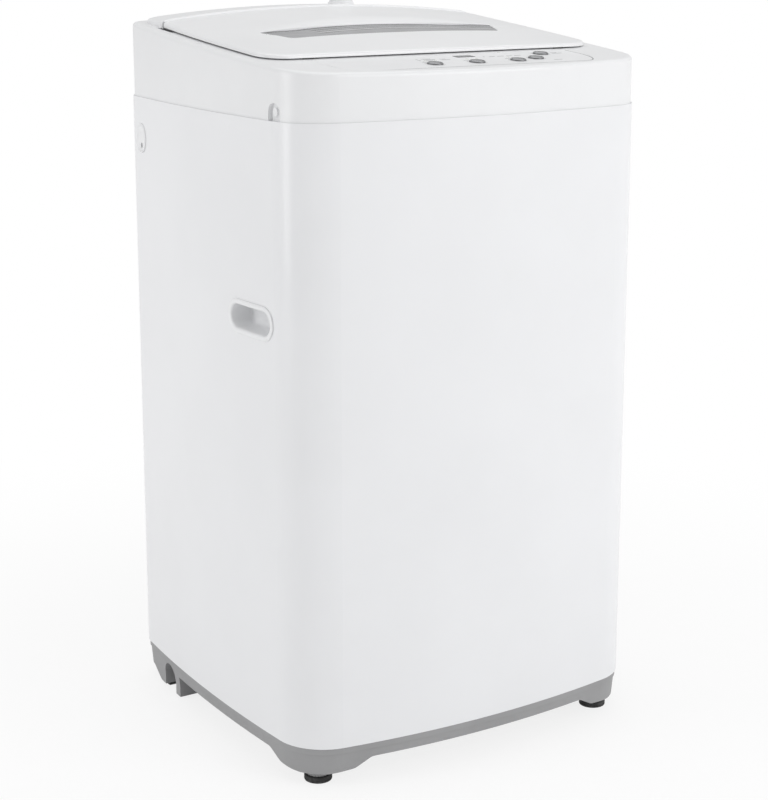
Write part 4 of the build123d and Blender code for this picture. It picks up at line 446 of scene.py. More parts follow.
def polar(angle, radius, height, x=0.0, y=0.0):
    """Grid round an upright axis at x and y: x + r cos a, y + r sin a, h."""
    return stack(x + radius * np.cos(angle), y + radius * np.sin(angle), height)


def turned(profile, count):
    """Grid of a profile of (radius, height) carried round the Z axis."""
    return polar(around(count), *columns(profile))


def screw_wave(height, angle, pitch):
    """Thread's depth from 0 to 1 and back: a saw tooth of height over pitch less the share of a turn."""
    return np.abs(((height / pitch - angle / (2 * math.pi)) % 1.0) - 0.5) * 2


# Finishes
class Wire:
    """A shader socket that Python's operators work on: each one adds a Math node."""

    def __init__(self, finish, socket):
        self.finish = finish
        self.socket = socket

    def maths(self, operation, *others):
        """A Math node that takes this socket first."""
        return self.finish.add("ShaderNodeMath", {"operation": operation}, dict(enumerate((self, *others))))

    def __add__(self, other):
        return self.maths("ADD", other)

    __radd__ = __add__

    def __sub__(self, other):
        return self.maths("SUBTRACT", other)

    def __rsub__(self, other):
        return self.finish.add("ShaderNodeMath", {"operation": "SUBTRACT"}, {0: other, 1: self})

    def __mul__(self, other):
        return self.maths("MULTIPLY", other)

    __rmul__ = __mul__

    def __lt__(self, other):
        return self.maths("LESS_THAN", other)

    def __gt__(self, other):
        return self.maths("GREATER_THAN", other)

    def step(self, low, high):
        """Smooth step from 0 at low to 1 at high."""
        return self.finish.add("ShaderNodeMapRange", {"interpolation_type": "SMOOTHSTEP"},
                               {"Value": self, "From Min": low, "From Max": high})

    def near(self, middle, half):
        """1 within half of middle, 0 outside."""
        return self.maths("COMPARE", middle, half)


class Nodes:
    """A tree of shader nodes, with one way to add a node."""

    def __init__(self, tree):
        self.tree = tree

    def add(self, kind, settings=None, values=None, output=0):
        """A node of a kind: its settings first, then its sockets' values or links; gives back one output."""
        node = self.tree.nodes.new(kind)
        for name, setting in (settings or {}).items():
            setattr(node, name, setting)
        for name, value in (values or {}).items():
            self.feed(node.inputs[name], value)
        return Wire(self, node.outputs[output])

    def feed(self, socket, value):
        """Links a wire to a socket, or sets the socket's own value."""
        if isinstance(value, Wire):
            self.tree.links.new(value.socket, socket)
        else:
            socket.default_value = value


class Finish(Nodes):
    """A material's nodes, with its Principled shader."""

    def __init__(self, name, color, roughness, metallic=0.0):
        self.material = bpy.data.materials.new(name)
        self.material.use_nodes = True
        super().__init__(self.material.node_tree)
        self.shader = self.tree.nodes["Principled BSDF"]
        self.set({"Base Color": (*color, 1.0), "Roughness": roughness, "Metallic": metallic})
        self.place = None

    def set(self, values):
        """Values or links for the shader's own sockets."""
        for name, value in values.items():
            self.feed(self.shader.inputs[name], value)

    def position(self):
        """Object coordinates, in metres."""
        if self.place is None:
            self.place = self.add("ShaderNodeTexCoord", output="Object")
        return self.place

    def axes(self):
        """x, y and z of the object coordinates, in millimetres."""
        scaled = self.add("ShaderNodeVectorMath", {"operation": "SCALE"},
                          {0: self.position(), "Scale": 1 / MM})
        return [self.add("ShaderNodeSeparateXYZ", None, {0: scaled}, name) for name in "XYZ"]

    def noise(self, grain_mm, detail=2.0, stretch=(1.0, 1.0, 1.0)):
        """Noise whose grains are about grain_mm across, drawn out by stretch."""
        turned_place = self.add("ShaderNodeMapping", None, {"Vector": self.position(), "Scale": stretch})
        return self.add("ShaderNodeTexNoise", None,
                        {"Vector": turned_place, "Scale": 1 / (grain_mm * MM), "Detail": detail})

    def mark(self, name):
        """A number that the piece's points carry."""
        return self.add("ShaderNodeAttribute", {"attribute_name": name}, None, "Fac")

    def mix(self, factor, first, second):
        """Colour between first and second."""
        colors = [c if isinstance(c, Wire) else (*c, 1.0) for c in (first, second)]
        return self.add("ShaderNodeMix", {"data_type": "RGBA"}, {0: factor, 6: colors[0], 7: colors[1]}, 2)

    def tint(self, factor, first, second):
        """Base colour between first and second."""
        self.set({"Base Color": self.mix(factor, first, second)})

    def bump(self, height, strength, distance_mm):
        """Surface relief from a height."""
        normal = self.add("ShaderNodeBump", None,
                          {"Strength": strength, "Distance": distance_mm * MM, "Height": height})
        self.set({"Normal": normal})


def dimmed(color, share):
    """A colour with each part lowered to a share."""
    return tuple(share * part for part in color)


def reach_from(x, y, place):
    """Squared distance of x and y from a place."""
    across = x - place[0]
    along = y - place[1]
    return across * across + along * along


def moulded(name, color, roughness, grain_mm, relief, shade=0.94, coat=0.0):
    """Moulded plastic: faint cloud in its colour, roughness that wanders, and a spark-eroded grain."""
    finish = Finish(name, color, roughness)
    cloud = finish.noise(60.0, 3.0)
    finish.tint(cloud.step(0.35, 0.7), color, dimmed(color, shade))
    finish.set({"Roughness": roughness + 0.10 * (finish.noise(25.0) - 0.5)})
    finish.bump(finish.noise(grain_mm, 4.0), relief, 0.15)
    finish.set({"Coat Weight": coat, "Coat Roughness": 0.25})
    return finish


def painted(name, color):
    """Sprayed enamel on sheet steel: orange peel of a few millimetres under a clear, even gloss."""
    finish = Finish(name, color, 0.34)
    cloud = finish.noise(140.0, 3.0)
    finish.tint(cloud.step(0.3, 0.75), color, dimmed(color, 0.975))
    finish.set({"Roughness": 0.34 + 0.08 * (finish.noise(40.0) - 0.5)})
    peel = finish.noise(3.2, 1.0) + 0.35 * finish.noise(1.1, 1.0)
    finish.bump(peel, 0.05, 0.12)
    finish.set({"Coat Weight": 0.25, "Coat Roughness": 0.12})
    return finish


def rubber(name, color):
    """Matt rubber with a dusty bloom in patches."""
    finish = Finish(name, color, 0.75)
    bloom = finish.noise(9.0, 4.0)
    finish.tint(bloom.step(0.45, 0.8), color, RUBBER_BLOOM)
    finish.set({"Roughness": 0.7 + 0.2 * (bloom - 0.5)})
    finish.bump(finish.noise(0.6, 3.0), 0.15, 0.1)
    return finish


def brushed(name, color, stretch, roughness=0.3):
    """Brushed metal: fine lines drawn out along one axis in roughness and relief."""
    finish = Finish(name, color, roughness, 1.0)
    lines = finish.noise(0.5, 3.0, stretch)
    finish.tint(lines.step(0.3, 0.7), color, dimmed(color, 0.82))
    finish.set({"Roughness": roughness + 0.25 * (lines - 0.5)})
    finish.bump(lines, 0.08, 0.05)
    return finish


def cast(name, color):
    """Sand-cast alloy: coarse skin, dull and uneven."""
    finish = Finish(name, color, 0.5, 1.0)
    skin = finish.noise(1.6, 5.0)
    finish.tint(skin.step(0.3, 0.75), color, dimmed(color, 0.7))
    finish.set({"Roughness": 0.42 + 0.3 * skin})
    finish.bump(skin, 0.3, 0.3)
    return finish


def perforated(name, color):
    """Basket steel: brushed round, with rows of small near-black dots of painted shade on the wall, standing
    in for the drain holes.
    """
    wall_radius = 160.0
    middle, half = 420.0, 140.0
    dots_a_row, row_gap = 72.0, 14.0
    finish = brushed(name, color, (1.0, 1.0, 30.0), 0.28)
    x, y, z = finish.axes()
    wall = (x * x + y * y) > wall_radius ** 2
    across = (y.maths("ARCTAN2", x) * dots_a_row).maths("COSINE")
    up = (z * (2 * math.pi / row_gap)).maths("COSINE")
    # Painted shade: near-black dots stand in for the drain holes, where only shade would be seen through the
    # wall.
    dots = (across + up).step(1.45, 1.6) * wall * z.near(middle, half)
    finish.tint(dots, color, HOLE_SHADE)
    finish.set({"Metallic": 1.0 - 0.9 * dots})
    return finish


def screwed(name):
    """Case screws: white caps in the top's pockets, zinc-plated heads lower down, with a fine turned skin."""
    cap_height = 600.0
    finish = Finish(name, ZINC_PLAIN, 0.35)
    white = finish.axes()[2] > cap_height
    skin = finish.noise(0.8)
    zinc = finish.mix(skin.step(0.3, 0.7), ZINC, ZINC_DULL)
    finish.tint(white, zinc, MOULD_WHITE)
    finish.set({"Metallic": 1.0 - white, "Roughness": 0.3 + 0.2 * skin})
    finish.bump(skin, 0.1, 0.05)
    return finish


def printed_sheet(name, color):
    """Fascia sheet: satin film with a thin grey border and small generic marks by the buttons."""
    finish = Finish(name, color, 0.4)
    x, y = finish.axes()[:2]
    border = finish.mark("from_edge").near(BORDER_IN, BORDER_HALF) * x.step(*BORDER_FADE) * (y < BORDER_BACK)
    ink = border * INK_SHARE
    for left, right, low, high in MARKS:
        bar = x.near((left + right) / 2, (right - left) / 2) * y.near((low + high) / 2, (high - low) / 2)
        ink = ink + bar * INK_SHARE
    for place in DOTS:
        ink = ink + (reach_from(x, y, place) < DOT_REACH) * INK_SHARE
    for place in BUTTONS.values():
        ink = ink + reach_from(x, y, place).near(RING_REACH, RING_HALF) * RING_SHARE
    plain = finish.mix(finish.noise(50.0).step(0.35, 0.7), color, dimmed(color, 0.97))
    finish.tint(ink, plain, INK)
    finish.set({"Roughness": 0.4 + 0.1 * (finish.noise(18.0) - 0.5)})
    finish.bump(finish.noise(0.5), 0.04, 0.05)
    return finish


def silvered(name):
    """Button in silver lacquer: rings turned about its middle, with painted shade in its groove and at its
    foot.
    """
    groove_radius, groove_half, foot_radius = 6.0, 0.55, 7.75
    finish = Finish(name, SILVER, 0.3, 0.6)
    out = finish.mark("from_middle")
    rings = (out * 9.0).maths("SINE") * 0.5 + 0.5
    shade = finish.mix(rings * 0.3, SILVER, SILVER_DULL)
    # Painted shade: the groove and the button's foot are darkened.
    low = (out.near(groove_radius, groove_half) + (out > foot_radius)).maths("MINIMUM", 1.0)
    finish.set({"Base Color": finish.mix(low * 0.8, shade, SILVER_SHADE), "Roughness": 0.24 + 0.16 * rings})
    finish.bump(rings, 0.06, 0.06)
    return finish


def smoked(name):
    """Tinted clear window: see-through grey, with a painted shadow line at its back edge under the lip's wall
    and lines of painted shade and painted highlight along its ridges.
    """
    finish = Finish(name, SMOKE, 0.16)
    x, y = finish.axes()[:2]
    bow = x * x * ((WINDOW_REAR - WINDOW_TIP_Y) / WINDOW_TIP_X ** 2)
    back = WINDOW_REAR - bow - y
    inner = x.step(*LINE_FADE)
    # Painted shadow along the back edge under the lip's wall, then painted shade and painted highlight in dark
    # and pale lines along the ridges; the dark lines are also less see-through.
    dark = back.near(*EDGE_SHADOW_LINE) + sum(back.near(*line) for line in SHADE_LINES) * inner
    pale = sum(back.near(*line) for line in HIGHLIGHT_LINES) * inner
    cloud = finish.noise(30.0)
    tint = finish.mix(cloud.step(0.3, 0.7), SMOKE, SMOKE_DULL)
    tint = finish.mix(pale * 0.7, tint, HIGHLIGHT_PALE)
    finish.set({"Base Color": finish.mix(dark * 0.85, tint, SHADE_DARK), "Roughness": 0.16 + 0.08 * cloud})
    finish.set({"Alpha": 0.86 + 0.12 * dark, "Specular IOR Level": 0.2})
    return finish


def circuit(name):
    """Solder mask over copper runs: faint lanes in two greens with pale pads."""
    finish = Finish(name, MASK_GREEN, 0.45)
    x, y = finish.axes()[:2]
    lanes = (x * 1.3).maths("SINE") * (y * 1.7).maths("SINE")
    green = finish.mix(lanes > 0.2, MASK_DARK, MASK_PALE)
    finish.tint(lanes > 0.93, green, PAD_TIN)
    finish.set({"Roughness": 0.4 + 0.2 * finish.noise(8.0)})
    finish.bump(lanes, 0.2, 0.05)
    return finish


finishes = {
    "white_steel": painted("case_enamel", CASE_WHITE),
    "white_plastic": moulded("white_moulding", MOULD_WHITE, 0.36, 0.7, 0.05, 0.985, 0.15),
    "grey_plastic": moulded("grey_moulding", (0.335, 0.335, 0.34), 0.55, 0.8, 0.18),
    "black_rubber": rubber("black_rubber", (0.02, 0.02, 0.02)),
    "fascia": printed_sheet("fascia_sheet", SHEET_WHITE),
    "button_silver": silvered("button_lacquer"),
    "display_dark": moulded("display_sheet", (0.055, 0.057, 0.062), 0.12, 3.0, 0.02),
    "light_lens": moulded("lamp_lens", (0.74, 0.75, 0.72), 0.15, 3.0, 0.02),
    "window_tint": smoked("smoked_window"),
    "board_green": circuit("circuit_board"),
    "tub_plastic": moulded("tub_moulding", (0.70, 0.72, 0.74), 0.42, 1.2, 0.12),
    "dark_plastic": moulded("dark_moulding", (0.07, 0.07, 0.075), 0.5, 0.8, 0.15),
    "steel": brushed("brushed_steel", BRIGHT_STEEL, (1.0, 1.0, 30.0), 0.28),
    "alloy": cast("cast_alloy", (0.60, 0.60, 0.61)),
    "motor_paint": painted("motor_enamel", (0.07, 0.07, 0.08)),
    "can": brushed("drawn_can", (0.66, 0.66, 0.67), (1.0, 1.0, 0.05), 0.35),
}
finishes["display_dark"].set({"Specular IOR Level": 0.15})
slots = {entry["node"]: entry["material_slot"] for entry in frame["record"]["subparts"]}
for node, thing in frame["nodes"].items():
    thing.data.materials.clear()
    thing.data.materials.append(finishes[slots[node]].material)
frame["nodes"]["basket"].data.materials[0] = perforated("basket_steel", BRIGHT_STEEL).material
frame["nodes"]["case_screws"].data.materials[0] = screwed("screw_plate").material


# Shapes of the top
def side_x(y, inset):
    """Right side of the case, set in: a circle of the side's radius about a far centre on the X axis."""
    return HALF_WIDTH - SIDE_RADIUS + np.sqrt((SIDE_RADIUS - inset) ** 2 - y ** 2)


def deck_z(y):
    """Deck's height: a plane that rises to the back."""
    return DECK_LOW + DECK_SLOPE * (y - DECK_FRONT)


def lid_z(x, y):
    """Lid's top: the deck's slope, an edge rising to the back, and a crown times 1 less (x/half) squared."""
    share = np.clip((y - LID_FRONT) / (LID_REAR - LID_FRONT), 0.0, 1.0)
    crown = LID_CROWN * (1 - (1 - share) ** 2) + LID_CROWN_LEAST
    return deck_z(y) + LID_EDGE + LID_EDGE_GAIN * share + crown * (1 - (x / LID_CROWN_HALF) ** 2)


def lid_outline(inset):
    """Lid's outline set in by inset: rear edge, corner, bowed side, corner, front edge, then mirrored."""
    centre = HALF_WIDTH - SIDE_RADIUS
    sides = SIDE_RADIUS - LID_SIDE_INSET - inset
    rear_round = LID_REAR_CORNER - inset
    front_round = LID_CORNER - inset
    rear_y = LID_REAR - inset - rear_round
    front_y = LID_FRONT + inset + front_round
    rear_x = centre + math.sqrt((sides - rear_round) ** 2 - rear_y ** 2)
    front_x = centre + math.sqrt((sides - front_round) ** 2 - front_y ** 2)
    rear_turn = math.atan2(rear_y, rear_x - centre)
    front_turn = math.atan2(front_y, front_x - centre)
    across = np.linspace(0, 1, 44)
    rear = stack(rear_x * across, LID_REAR - inset)[:-1]
    turn = np.linspace(math.pi / 2, rear_turn, 9)
    rear_corner = stack(rear_x + rear_round * np.cos(turn), rear_y + rear_round * np.sin(turn))[:-1]
    turn = np.linspace(rear_turn, front_turn, 96)
    side = stack(centre + sides * np.cos(turn), sides * np.sin(turn))[:-1]
    turn = np.linspace(front_turn, -math.pi / 2, 30)
    front_corner = stack(front_x + front_round * np.cos(turn), front_y + front_round * np.sin(turn))[:-1]
    front = stack(front_x * across[::-1], LID_FRONT + inset)
    right = np.vstack([rear, rear_corner, side, front_corner, front])
    left = right[-2:0:-1] * MIRROR_X
    return np.vstack([right, left])


def window_outline():
    """Window's outline, close set: straight front, rounded corners, slanted ends, bowed back."""
    share = np.linspace(0, 1, 160)
    corner = np.array([WINDOW_FRONT_HALF, WINDOW_FRONT])
    tip = np.array([WINDOW_TIP_X, WINDOW_TIP_Y])
    slant = (tip - corner) / np.linalg.norm(tip - corner)
    begin = corner - np.array([WINDOW_CORNER, 0.0])
    end = corner + WINDOW_CORNER * slant
    front = stack(begin[0] * share, WINDOW_FRONT)
    bend = share[:, None]
    rounded = (1 - bend) ** 2 * begin + 2 * bend * (1 - bend) * corner + bend ** 2 * end
    slanted = end + bend * (tip - end)
    back_x = WINDOW_TIP_X * share[::-1]
    back = stack(back_x, WINDOW_REAR - (WINDOW_REAR - WINDOW_TIP_Y) * (back_x / WINDOW_TIP_X) ** 2)
    right = np.vstack([front, rounded, slanted, back])
    return np.vstack([right, right[::-1] * MIRROR_X])


def window_edge(points):
    """Point of the window's outline in the direction of each given point from the window's middle."""
    edge = window_outline() - np.array([0.0, WINDOW_MIDDLE])
    angle = np.arctan2(edge[:, 1], edge[:, 0])
    order = np.argsort(angle)
    reach = np.hypot(*edge.T)
    aim = np.arctan2(points[:, 1] - WINDOW_MIDDLE, points[:, 0])
    length = np.interp(aim, angle[order], reach[order], period=2 * math.pi)
    return stack(length * np.cos(aim), WINDOW_MIDDLE + length * np.sin(aim))


def lip_drop(x, y):
    """Depth of the lip: nothing on an arc from tip to tip behind the window, most at its back edge."""
    rise = WINDOW_REAR + LIP_RUN - WINDOW_TIP_Y
    radius = (WINDOW_TIP_X ** 2 + rise ** 2) / (2 * rise)
    middle = WINDOW_REAR + LIP_RUN - radius
    inside = np.clip((radius - np.hypot(x, y - middle)) / LIP_RUN, 0.0, 1.0)
    behind = ease((y - WINDOW_FRONT - LIP_START) / LIP_START_RUN)
    return LIP_DROP * inside ** LIP_POWER * behind


def window_depth(x, y):
    """Depth of the window's top under the lid's: it grows to the back and runs out towards both ends."""
    share = np.clip((y - WINDOW_FRONT) / (WINDOW_REAR - WINDOW_FRONT), 0.0, 1.0)
    end = WINDOW_END_SHARE * ease((np.abs(x) - WINDOW_TIP_X) / WINDOW_END_RUN + 1)
    return WINDOW_FRONT_DEPTH + (WINDOW_REAR_DEPTH - WINDOW_FRONT_DEPTH) * share * (1 - end)


def rays(starts, ends):
    """Length and direction of the line from each start to its end."""
    span = ends - starts
    length = np.hypot(*span.T)
    return length, span / length[:, None]


def lid_grid():
    """Lid as one closed ring: top from window to rim, rounded rim, skirt, and the underside back in."""
    rim = lid_outline(0.0)
    outward = rim - lid_outline(1.0)
    shoulder = lid_outline(LID_ROUND)
    edge = window_edge(shoulder)
    length, along = rays(edge, shoulder)
    near = np.array(HOLE_STEPS)[:, None] * np.ones_like(length)
    spread = np.linspace(0, 1, 60)[1:, None] ** LID_TOP_SPREAD
    far = HOLE_ROUND + (length - HOLE_ROUND) * spread
    reach = np.vstack([near, far])
    x, y = edge.T[:, None] + reach * along.T[:, None]
    short = np.clip(HOLE_ROUND - reach, 0.0, HOLE_ROUND)
    hollow = HOLE_ROUND - np.sqrt(HOLE_ROUND ** 2 - short ** 2)
    top = stack(x, y, lid_z(x, y) - lip_drop(x, y) - hollow)
    rim_top = lid_z(*shoulder.T)
    turn = np.linspace(0, math.pi / 2, 10)[1:, None]
    round_x, round_y = shoulder.T[:, None] + LID_ROUND * np.sin(turn) * outward.T[:, None]
    rounded = stack(round_x, round_y, rim_top - LID_ROUND * (1 - np.cos(turn)))
    bottom = deck_z(rim[:, 1]) + LID_GAP
    skirt_top = rim_top - LID_ROUND
    share = np.array(LID_SKIRT_SHARES)[:, None]
    skirt = stack(*rim.T, skirt_top + (bottom - skirt_top) * share)
    foot = rim - LID_FOOT_INSET * outward
    wall = lid_outline(LID_WALL)
    low = np.stack([stack(*foot.T, bottom), stack(*wall.T, bottom)])
    length, along = rays(edge, wall)
    reach = length * np.linspace(1, 0, 36)[:, None]
    x, y = edge.T[:, None] + reach * along.T[:, None]
    hole_deep = window_depth(*edge.T) - lip_drop(*edge.T) - WINDOW_GAP
    thick = hole_deep + (LID_WALL - hole_deep) * ease(reach / LID_WALL_RUN)
    under = stack(x, y, lid_z(x, y) - lip_drop(x, y) - thick)
    return np.vstack([top, rounded, skirt, low, under])


def knuckle_grid(x_mid):
    """Hinge knuckle: a round barrel with a web up into the lid, carried along X, drawn shut at both ends."""
    turn = np.linspace(math.pi, 2 * math.pi, 25)
    web_y = HINGE_Y + np.linspace(KNUCKLE_RADIUS, -KNUCKLE_RADIUS, 7)
    y = np.concatenate([HINGE_Y + KNUCKLE_RADIUS * np.cos(turn), web_y])
    z = np.concatenate([HINGE_Z + KNUCKLE_RADIUS * np.sin(turn), lid_z(x_mid, web_y) - KNUCKLE_SINK])
    size = np.array(KNUCKLE_SIZES)[:, None]
    x = x_mid + KNUCKLE_HALF * np.array(KNUCKLE_STATIONS)[:, None]
    middle = HINGE_Z + KNUCKLE_LIFT
    return stack(x, HINGE_Y + size * (y - HINGE_Y), middle + size * (z - HINGE_Z - KNUCKLE_LIFT))


def window_grid():
    """Window plate: the lid's crown lowered, with shallow ridges along its back edge, closed underneath."""
    edge = window_edge(lid_outline(LID_ROUND))
    outward = rays(np.array([0.0, WINDOW_MIDDLE]), edge)[1]
    rim = edge + WINDOW_LAP * outward
    share = np.linspace(0, 1, 60)[:, None]
    x = rim[:, 0] * share
    y = WINDOW_MIDDLE + (rim[:, 1] - WINDOW_MIDDLE) * share
    back = WINDOW_REAR - (WINDOW_REAR - WINDOW_TIP_Y) * (x / WINDOW_TIP_X) ** 2 - y
    ridge = RIDGE_DEPTH * (0.5 - 0.5 * np.cos(back * 2 * math.pi / RIDGE_PITCH))
    ridge = ridge * ease((back - RIDGE_START) / RIDGE_START_RUN) * ease((RIDGE_END - back) / RIDGE_END_RUN)
    flat = lid_z(x, y) - window_depth(x, y)
    top = stack(x, y, flat - ridge)
    under = stack(x, y, flat - WINDOW_SHEET)[::-1]
    return np.vstack([top, under])


# Controls
def on_deck(grid, x, y):
    """Grid given above the deck, set at x and y: its height follows the deck's normal."""
    slope = math.atan(DECK_SLOPE)
    ahead = math.cos(slope) * grid[..., 1] - math.sin(slope) * grid[..., 2]
    up = math.sin(slope) * grid[..., 1] + math.cos(slope) * grid[..., 2]
    return stack(x + grid[..., 0], y + ahead, deck_z(y) + up)


def button_profile():
    """Half section of a button: dished middle, groove, raised ring, round shoulder, flange and stem."""
    dish = np.linspace(0, DISH_RADIUS, 12)
    middle = stack(dish, DISH_LOW + DISH_RISE * (dish / DISH_RADIUS) ** 2)
    return np.vstack([middle, BUTTON_SECTION])


def sheet_front(x):
    """Front edge of the fascia sheet: straight, then a quarter of an ellipse at each end."""
    out = np.clip((np.abs(x) - SHEET_NOSE) / (SHEET_HALF - SHEET_NOSE), 0.0, 1.0)
    return SHEET_FRONT + SHEET_RISE * (1 - np.sqrt(1 - out ** 2))


def sheet_rear(x):
    """Back edge of the fascia sheet: straight, with a small quarter circle at each end."""
    out = np.clip((np.abs(x) - SHEET_HALF) / SHEET_REAR_CORNER + 1, 0.0, 1.0)
    return SHEET_REAR - SHEET_REAR_CORNER * (1 - np.sqrt(1 - out ** 2))


def sheet_corner(count):
    """Places along X of a round end of the fascia sheet, at even angles."""
    turn = np.linspace(0, math.pi / 2, count)
    return SHEET_NOSE + (SHEET_HALF - SHEET_NOSE) * np.sin(turn)


def sheet_strip(x, levels):
    """Flat strip of the fascia sheet: each row keeps its share of the way from front edge to back edge."""
    share = (levels[:, None] - SHEET_FRONT) / (SHEET_REAR - SHEET_FRONT)
    front = sheet_front(x)
    return stack(x, front + (sheet_rear(x) - front) * share)


def hole_block(x, levels, middle):
    """Flat block round a button's hole: lines from the hole's circle out to the block's four edges."""
    side = np.ones(len(levels) - 1)
    end = np.ones(len(x) - 1)
    across = np.concatenate([x[:-1], x[-1] * side, x[:0:-1], x[0] * side])
    along = np.concatenate([levels[0] * end, levels[:-1], levels[-1] * end, levels[:0:-1]])
    edge = stack(across, along)
    away = edge - middle
    ring = middle + BUTTON_HOLE * away / np.linalg.norm(away, axis=-1, keepdims=True)
    share = np.array(HOLE_BLOCK_SHARES)[:, None, None]
    return ring + (edge - ring) * share


def overlay_grids():
    """Fascia sheet: strips and blocks round the button holes, each as top and underside, and their walls."""
    levels = np.append(np.arange(SHEET_FRONT, SHEET_REAR, SHEET_PITCH), SHEET_REAR)
    corner = sheet_corner(40)
    half = HOLE_BLOCK_HALF
    lines = [-corner[::-1]]
    flats = []
    walls = []
    for x_mid, y_mid in sorted(BUTTONS.values()):
        lines.append(np.linspace(lines[-1][-1], x_mid - half, 5))
        x = np.linspace(x_mid - half, x_mid + half, 12)
        low = np.searchsorted(levels, y_mid - half + HOLE_BLOCK_SLACK, side="right") - 1
        high = np.searchsorted(levels, y_mid + half - HOLE_BLOCK_SLACK)
        block = hole_block(x, levels[low:high + 1], np.array([x_mid, y_mid]))
        flats += [(sheet_strip(lines[-1], levels), False), (sheet_strip(x, levels[:low + 1]), False),
                  (sheet_strip(x, levels[high:]), False), (block, True)]
        walls.append(block[0])
        lines.append(x)
    lines.append(np.linspace(lines[-1][-1], SHEET_NOSE, 5))
    lines.append(corner)
    flats += [(sheet_strip(line, levels), False) for line in (lines[0], lines[-2], lines[-1])]
    x = np.unique(np.concatenate(lines))
    whole = sheet_strip(x, levels)
    walls.append(np.concatenate([whole[0, :-1], whole[:-1, -1], whole[-1, :0:-1], whole[:0:-1, 0]]))

    def raised(flat, rise):
        """Flat points set on the deck and raised."""
        return stack(flat[..., 0], flat[..., 1], deck_z(flat[..., 1]) + rise)

    grids = [(raised(flat, rise), False, wrap) for flat, wrap in flats for rise in (SHEET_PROUD, SHEET_SUNK)]
    for wall in walls:
        grids.append((np.stack([raised(wall, SHEET_PROUD), raised(wall, SHEET_SUNK)]), False, True))
    return grids


def overlay_from_edge(points):
    """Distance of each point from the fascia sheet's outline: to its straight edges and its round ends."""
    x = sheet_corner(200)
    corner = stack(x, sheet_front(x))
    place = stack(np.abs(points[:, 0]), points[:, 1])
    near = np.linalg.norm(place[:, None] - corner, axis=-1).min(axis=1)
    front = np.where(place[:, 0] <= SHEET_NOSE, place[:, 1] - SHEET_FRONT, near)
    return np.min([near, front, SHEET_HALF - place[:, 0], SHEET_REAR - place[:, 1]], axis=0)


def squared(angle, half_x, half_y, power):
    """Reach of a rectangle with round corners: p-th powers of cos a / X and sin a / Y, summed, to -1/p."""
    return (np.abs(np.cos(angle) / half_x) ** power + np.abs(np.sin(angle) / half_y) ** power) ** (-1 / power)


def pane_grid():
    """Display's pane on the deck: a rectangle with round corners drawn in to its middle, its edge rounded."""
    angle = around(80)
    reach = squared(angle, DISPLAY_SIZE[0] / 2, DISPLAY_SIZE[1] / 2, DISPLAY_SQUARE)
    share, height = columns(DISPLAY_SECTION)
    return on_deck(polar(angle, share * reach, DISPLAY_RISE * height), *DISPLAY_PLACE)


def lens_grid(x, y):
    """Indicator lens: a shallow dome, h = H (1 - (r/R) squared), over a short plain edge."""
    radius = np.linspace(0.0, LENS_RADIUS, 10)
    dome = stack(radius, LENS_LOW + LENS_RISE * (1 - (radius / LENS_RADIUS) ** 2))
    return on_deck(turned(np.vstack([dome, LENS_EDGE]), 32), x, y)


# Side fittings
def stadium(inset, length, height):
    """Outlines with round ends, set in by a column of insets: half circles and straight runs between."""
    radius = height / 2
    half = length / 2 - radius
    turn = np.linspace(-math.pi / 2, math.pi / 2, 37)
    bend = np.clip(radius - inset, 0.0, None)
    run = np.linspace(-1, 1, 17)[1:-1] * half + 0 * bend
    level = bend + 0 * run
    along = np.hstack([half + bend * np.cos(turn), run[:, ::-1], -half - bend * np.cos(turn), run])
    up = np.hstack([bend * np.sin(turn), level, -bend * np.sin(turn), -level])
    return along, up


def on_side(side, y, z, out):
    """Points on the left (-1) or right (1) side at y and z, stood off along the side's normal."""
    turn = np.arcsin(y / SIDE_RADIUS)
    return stack(side * (side_x(y, 0.0) + out * np.cos(turn)), y + out * np.sin(turn), z)


def handle_grid(side):
    """Carry handle: a section of rim, cup wall and floor carried round a stadium, and the cup's back."""
    inset, out = columns(HANDLE_SECTION)
    along, up = stadium(inset, HANDLE_LENGTH, HANDLE_HEIGHT)
    return on_side(side, HANDLE_Y + along, HANDLE_Z + up, out)


def hook_grid():
    """Hose hook plate: an oval drawn in to its hole, with a raised rim, the hole's wall and its socket."""
    angle = around(96)
    a = np.cos(angle) ** 2 / HOOK_HALF_WIDE ** 2 + np.sin(angle) ** 2 / HOOK_HALF_TALL ** 2
    b = -HOOK_DROP * np.sin(angle) / HOOK_HALF_TALL ** 2
    c = HOOK_DROP ** 2 / HOOK_HALF_TALL ** 2 - 1
    oval = (-b + np.sqrt(b ** 2 - a * c)) / a
    base, share, out = columns(HOOK_SECTION)
    radius = base + share * (oval - HOOK_HOLE)
    return on_side(-1, HOOK_Y + radius * np.cos(angle), HOOK_Z + radius * np.sin(angle), out)


# Feet
def foot_stud_grid(x):
    """Levelling stud: a collar with a wavy edge of ridges, then a rod with a screw thread."""
    angle = around(192)
    ridge = 0.5 + 0.5 * np.cos(COLLAR_RIDGES * angle)
    collar, level, cut = columns(COLLAR_SECTION)
    height = np.linspace(STUD_LOW, STUD_HIGH, 90)[:, None]
    thread = STUD_RADIUS - STUD_THREAD * screw_wave(height, angle, STUD_PITCH)
    end = np.array([[STUD_END_RADIUS], [0.0]]) + 0 * angle
    radius = np.vstack([collar - cut * ridge, thread, end])
    height = np.vstack([level, height, [[STUD_END], [STUD_END]]])
    return polar(angle, radius, height, x, FOOT_Y)


def foot_pad_grid(x):
    """Rubber pad: a low drum with a groove round its edge and a dished sole."""
    return turned(PAD_SECTION, 96) + np.array([x, FOOT_Y, 0.0])


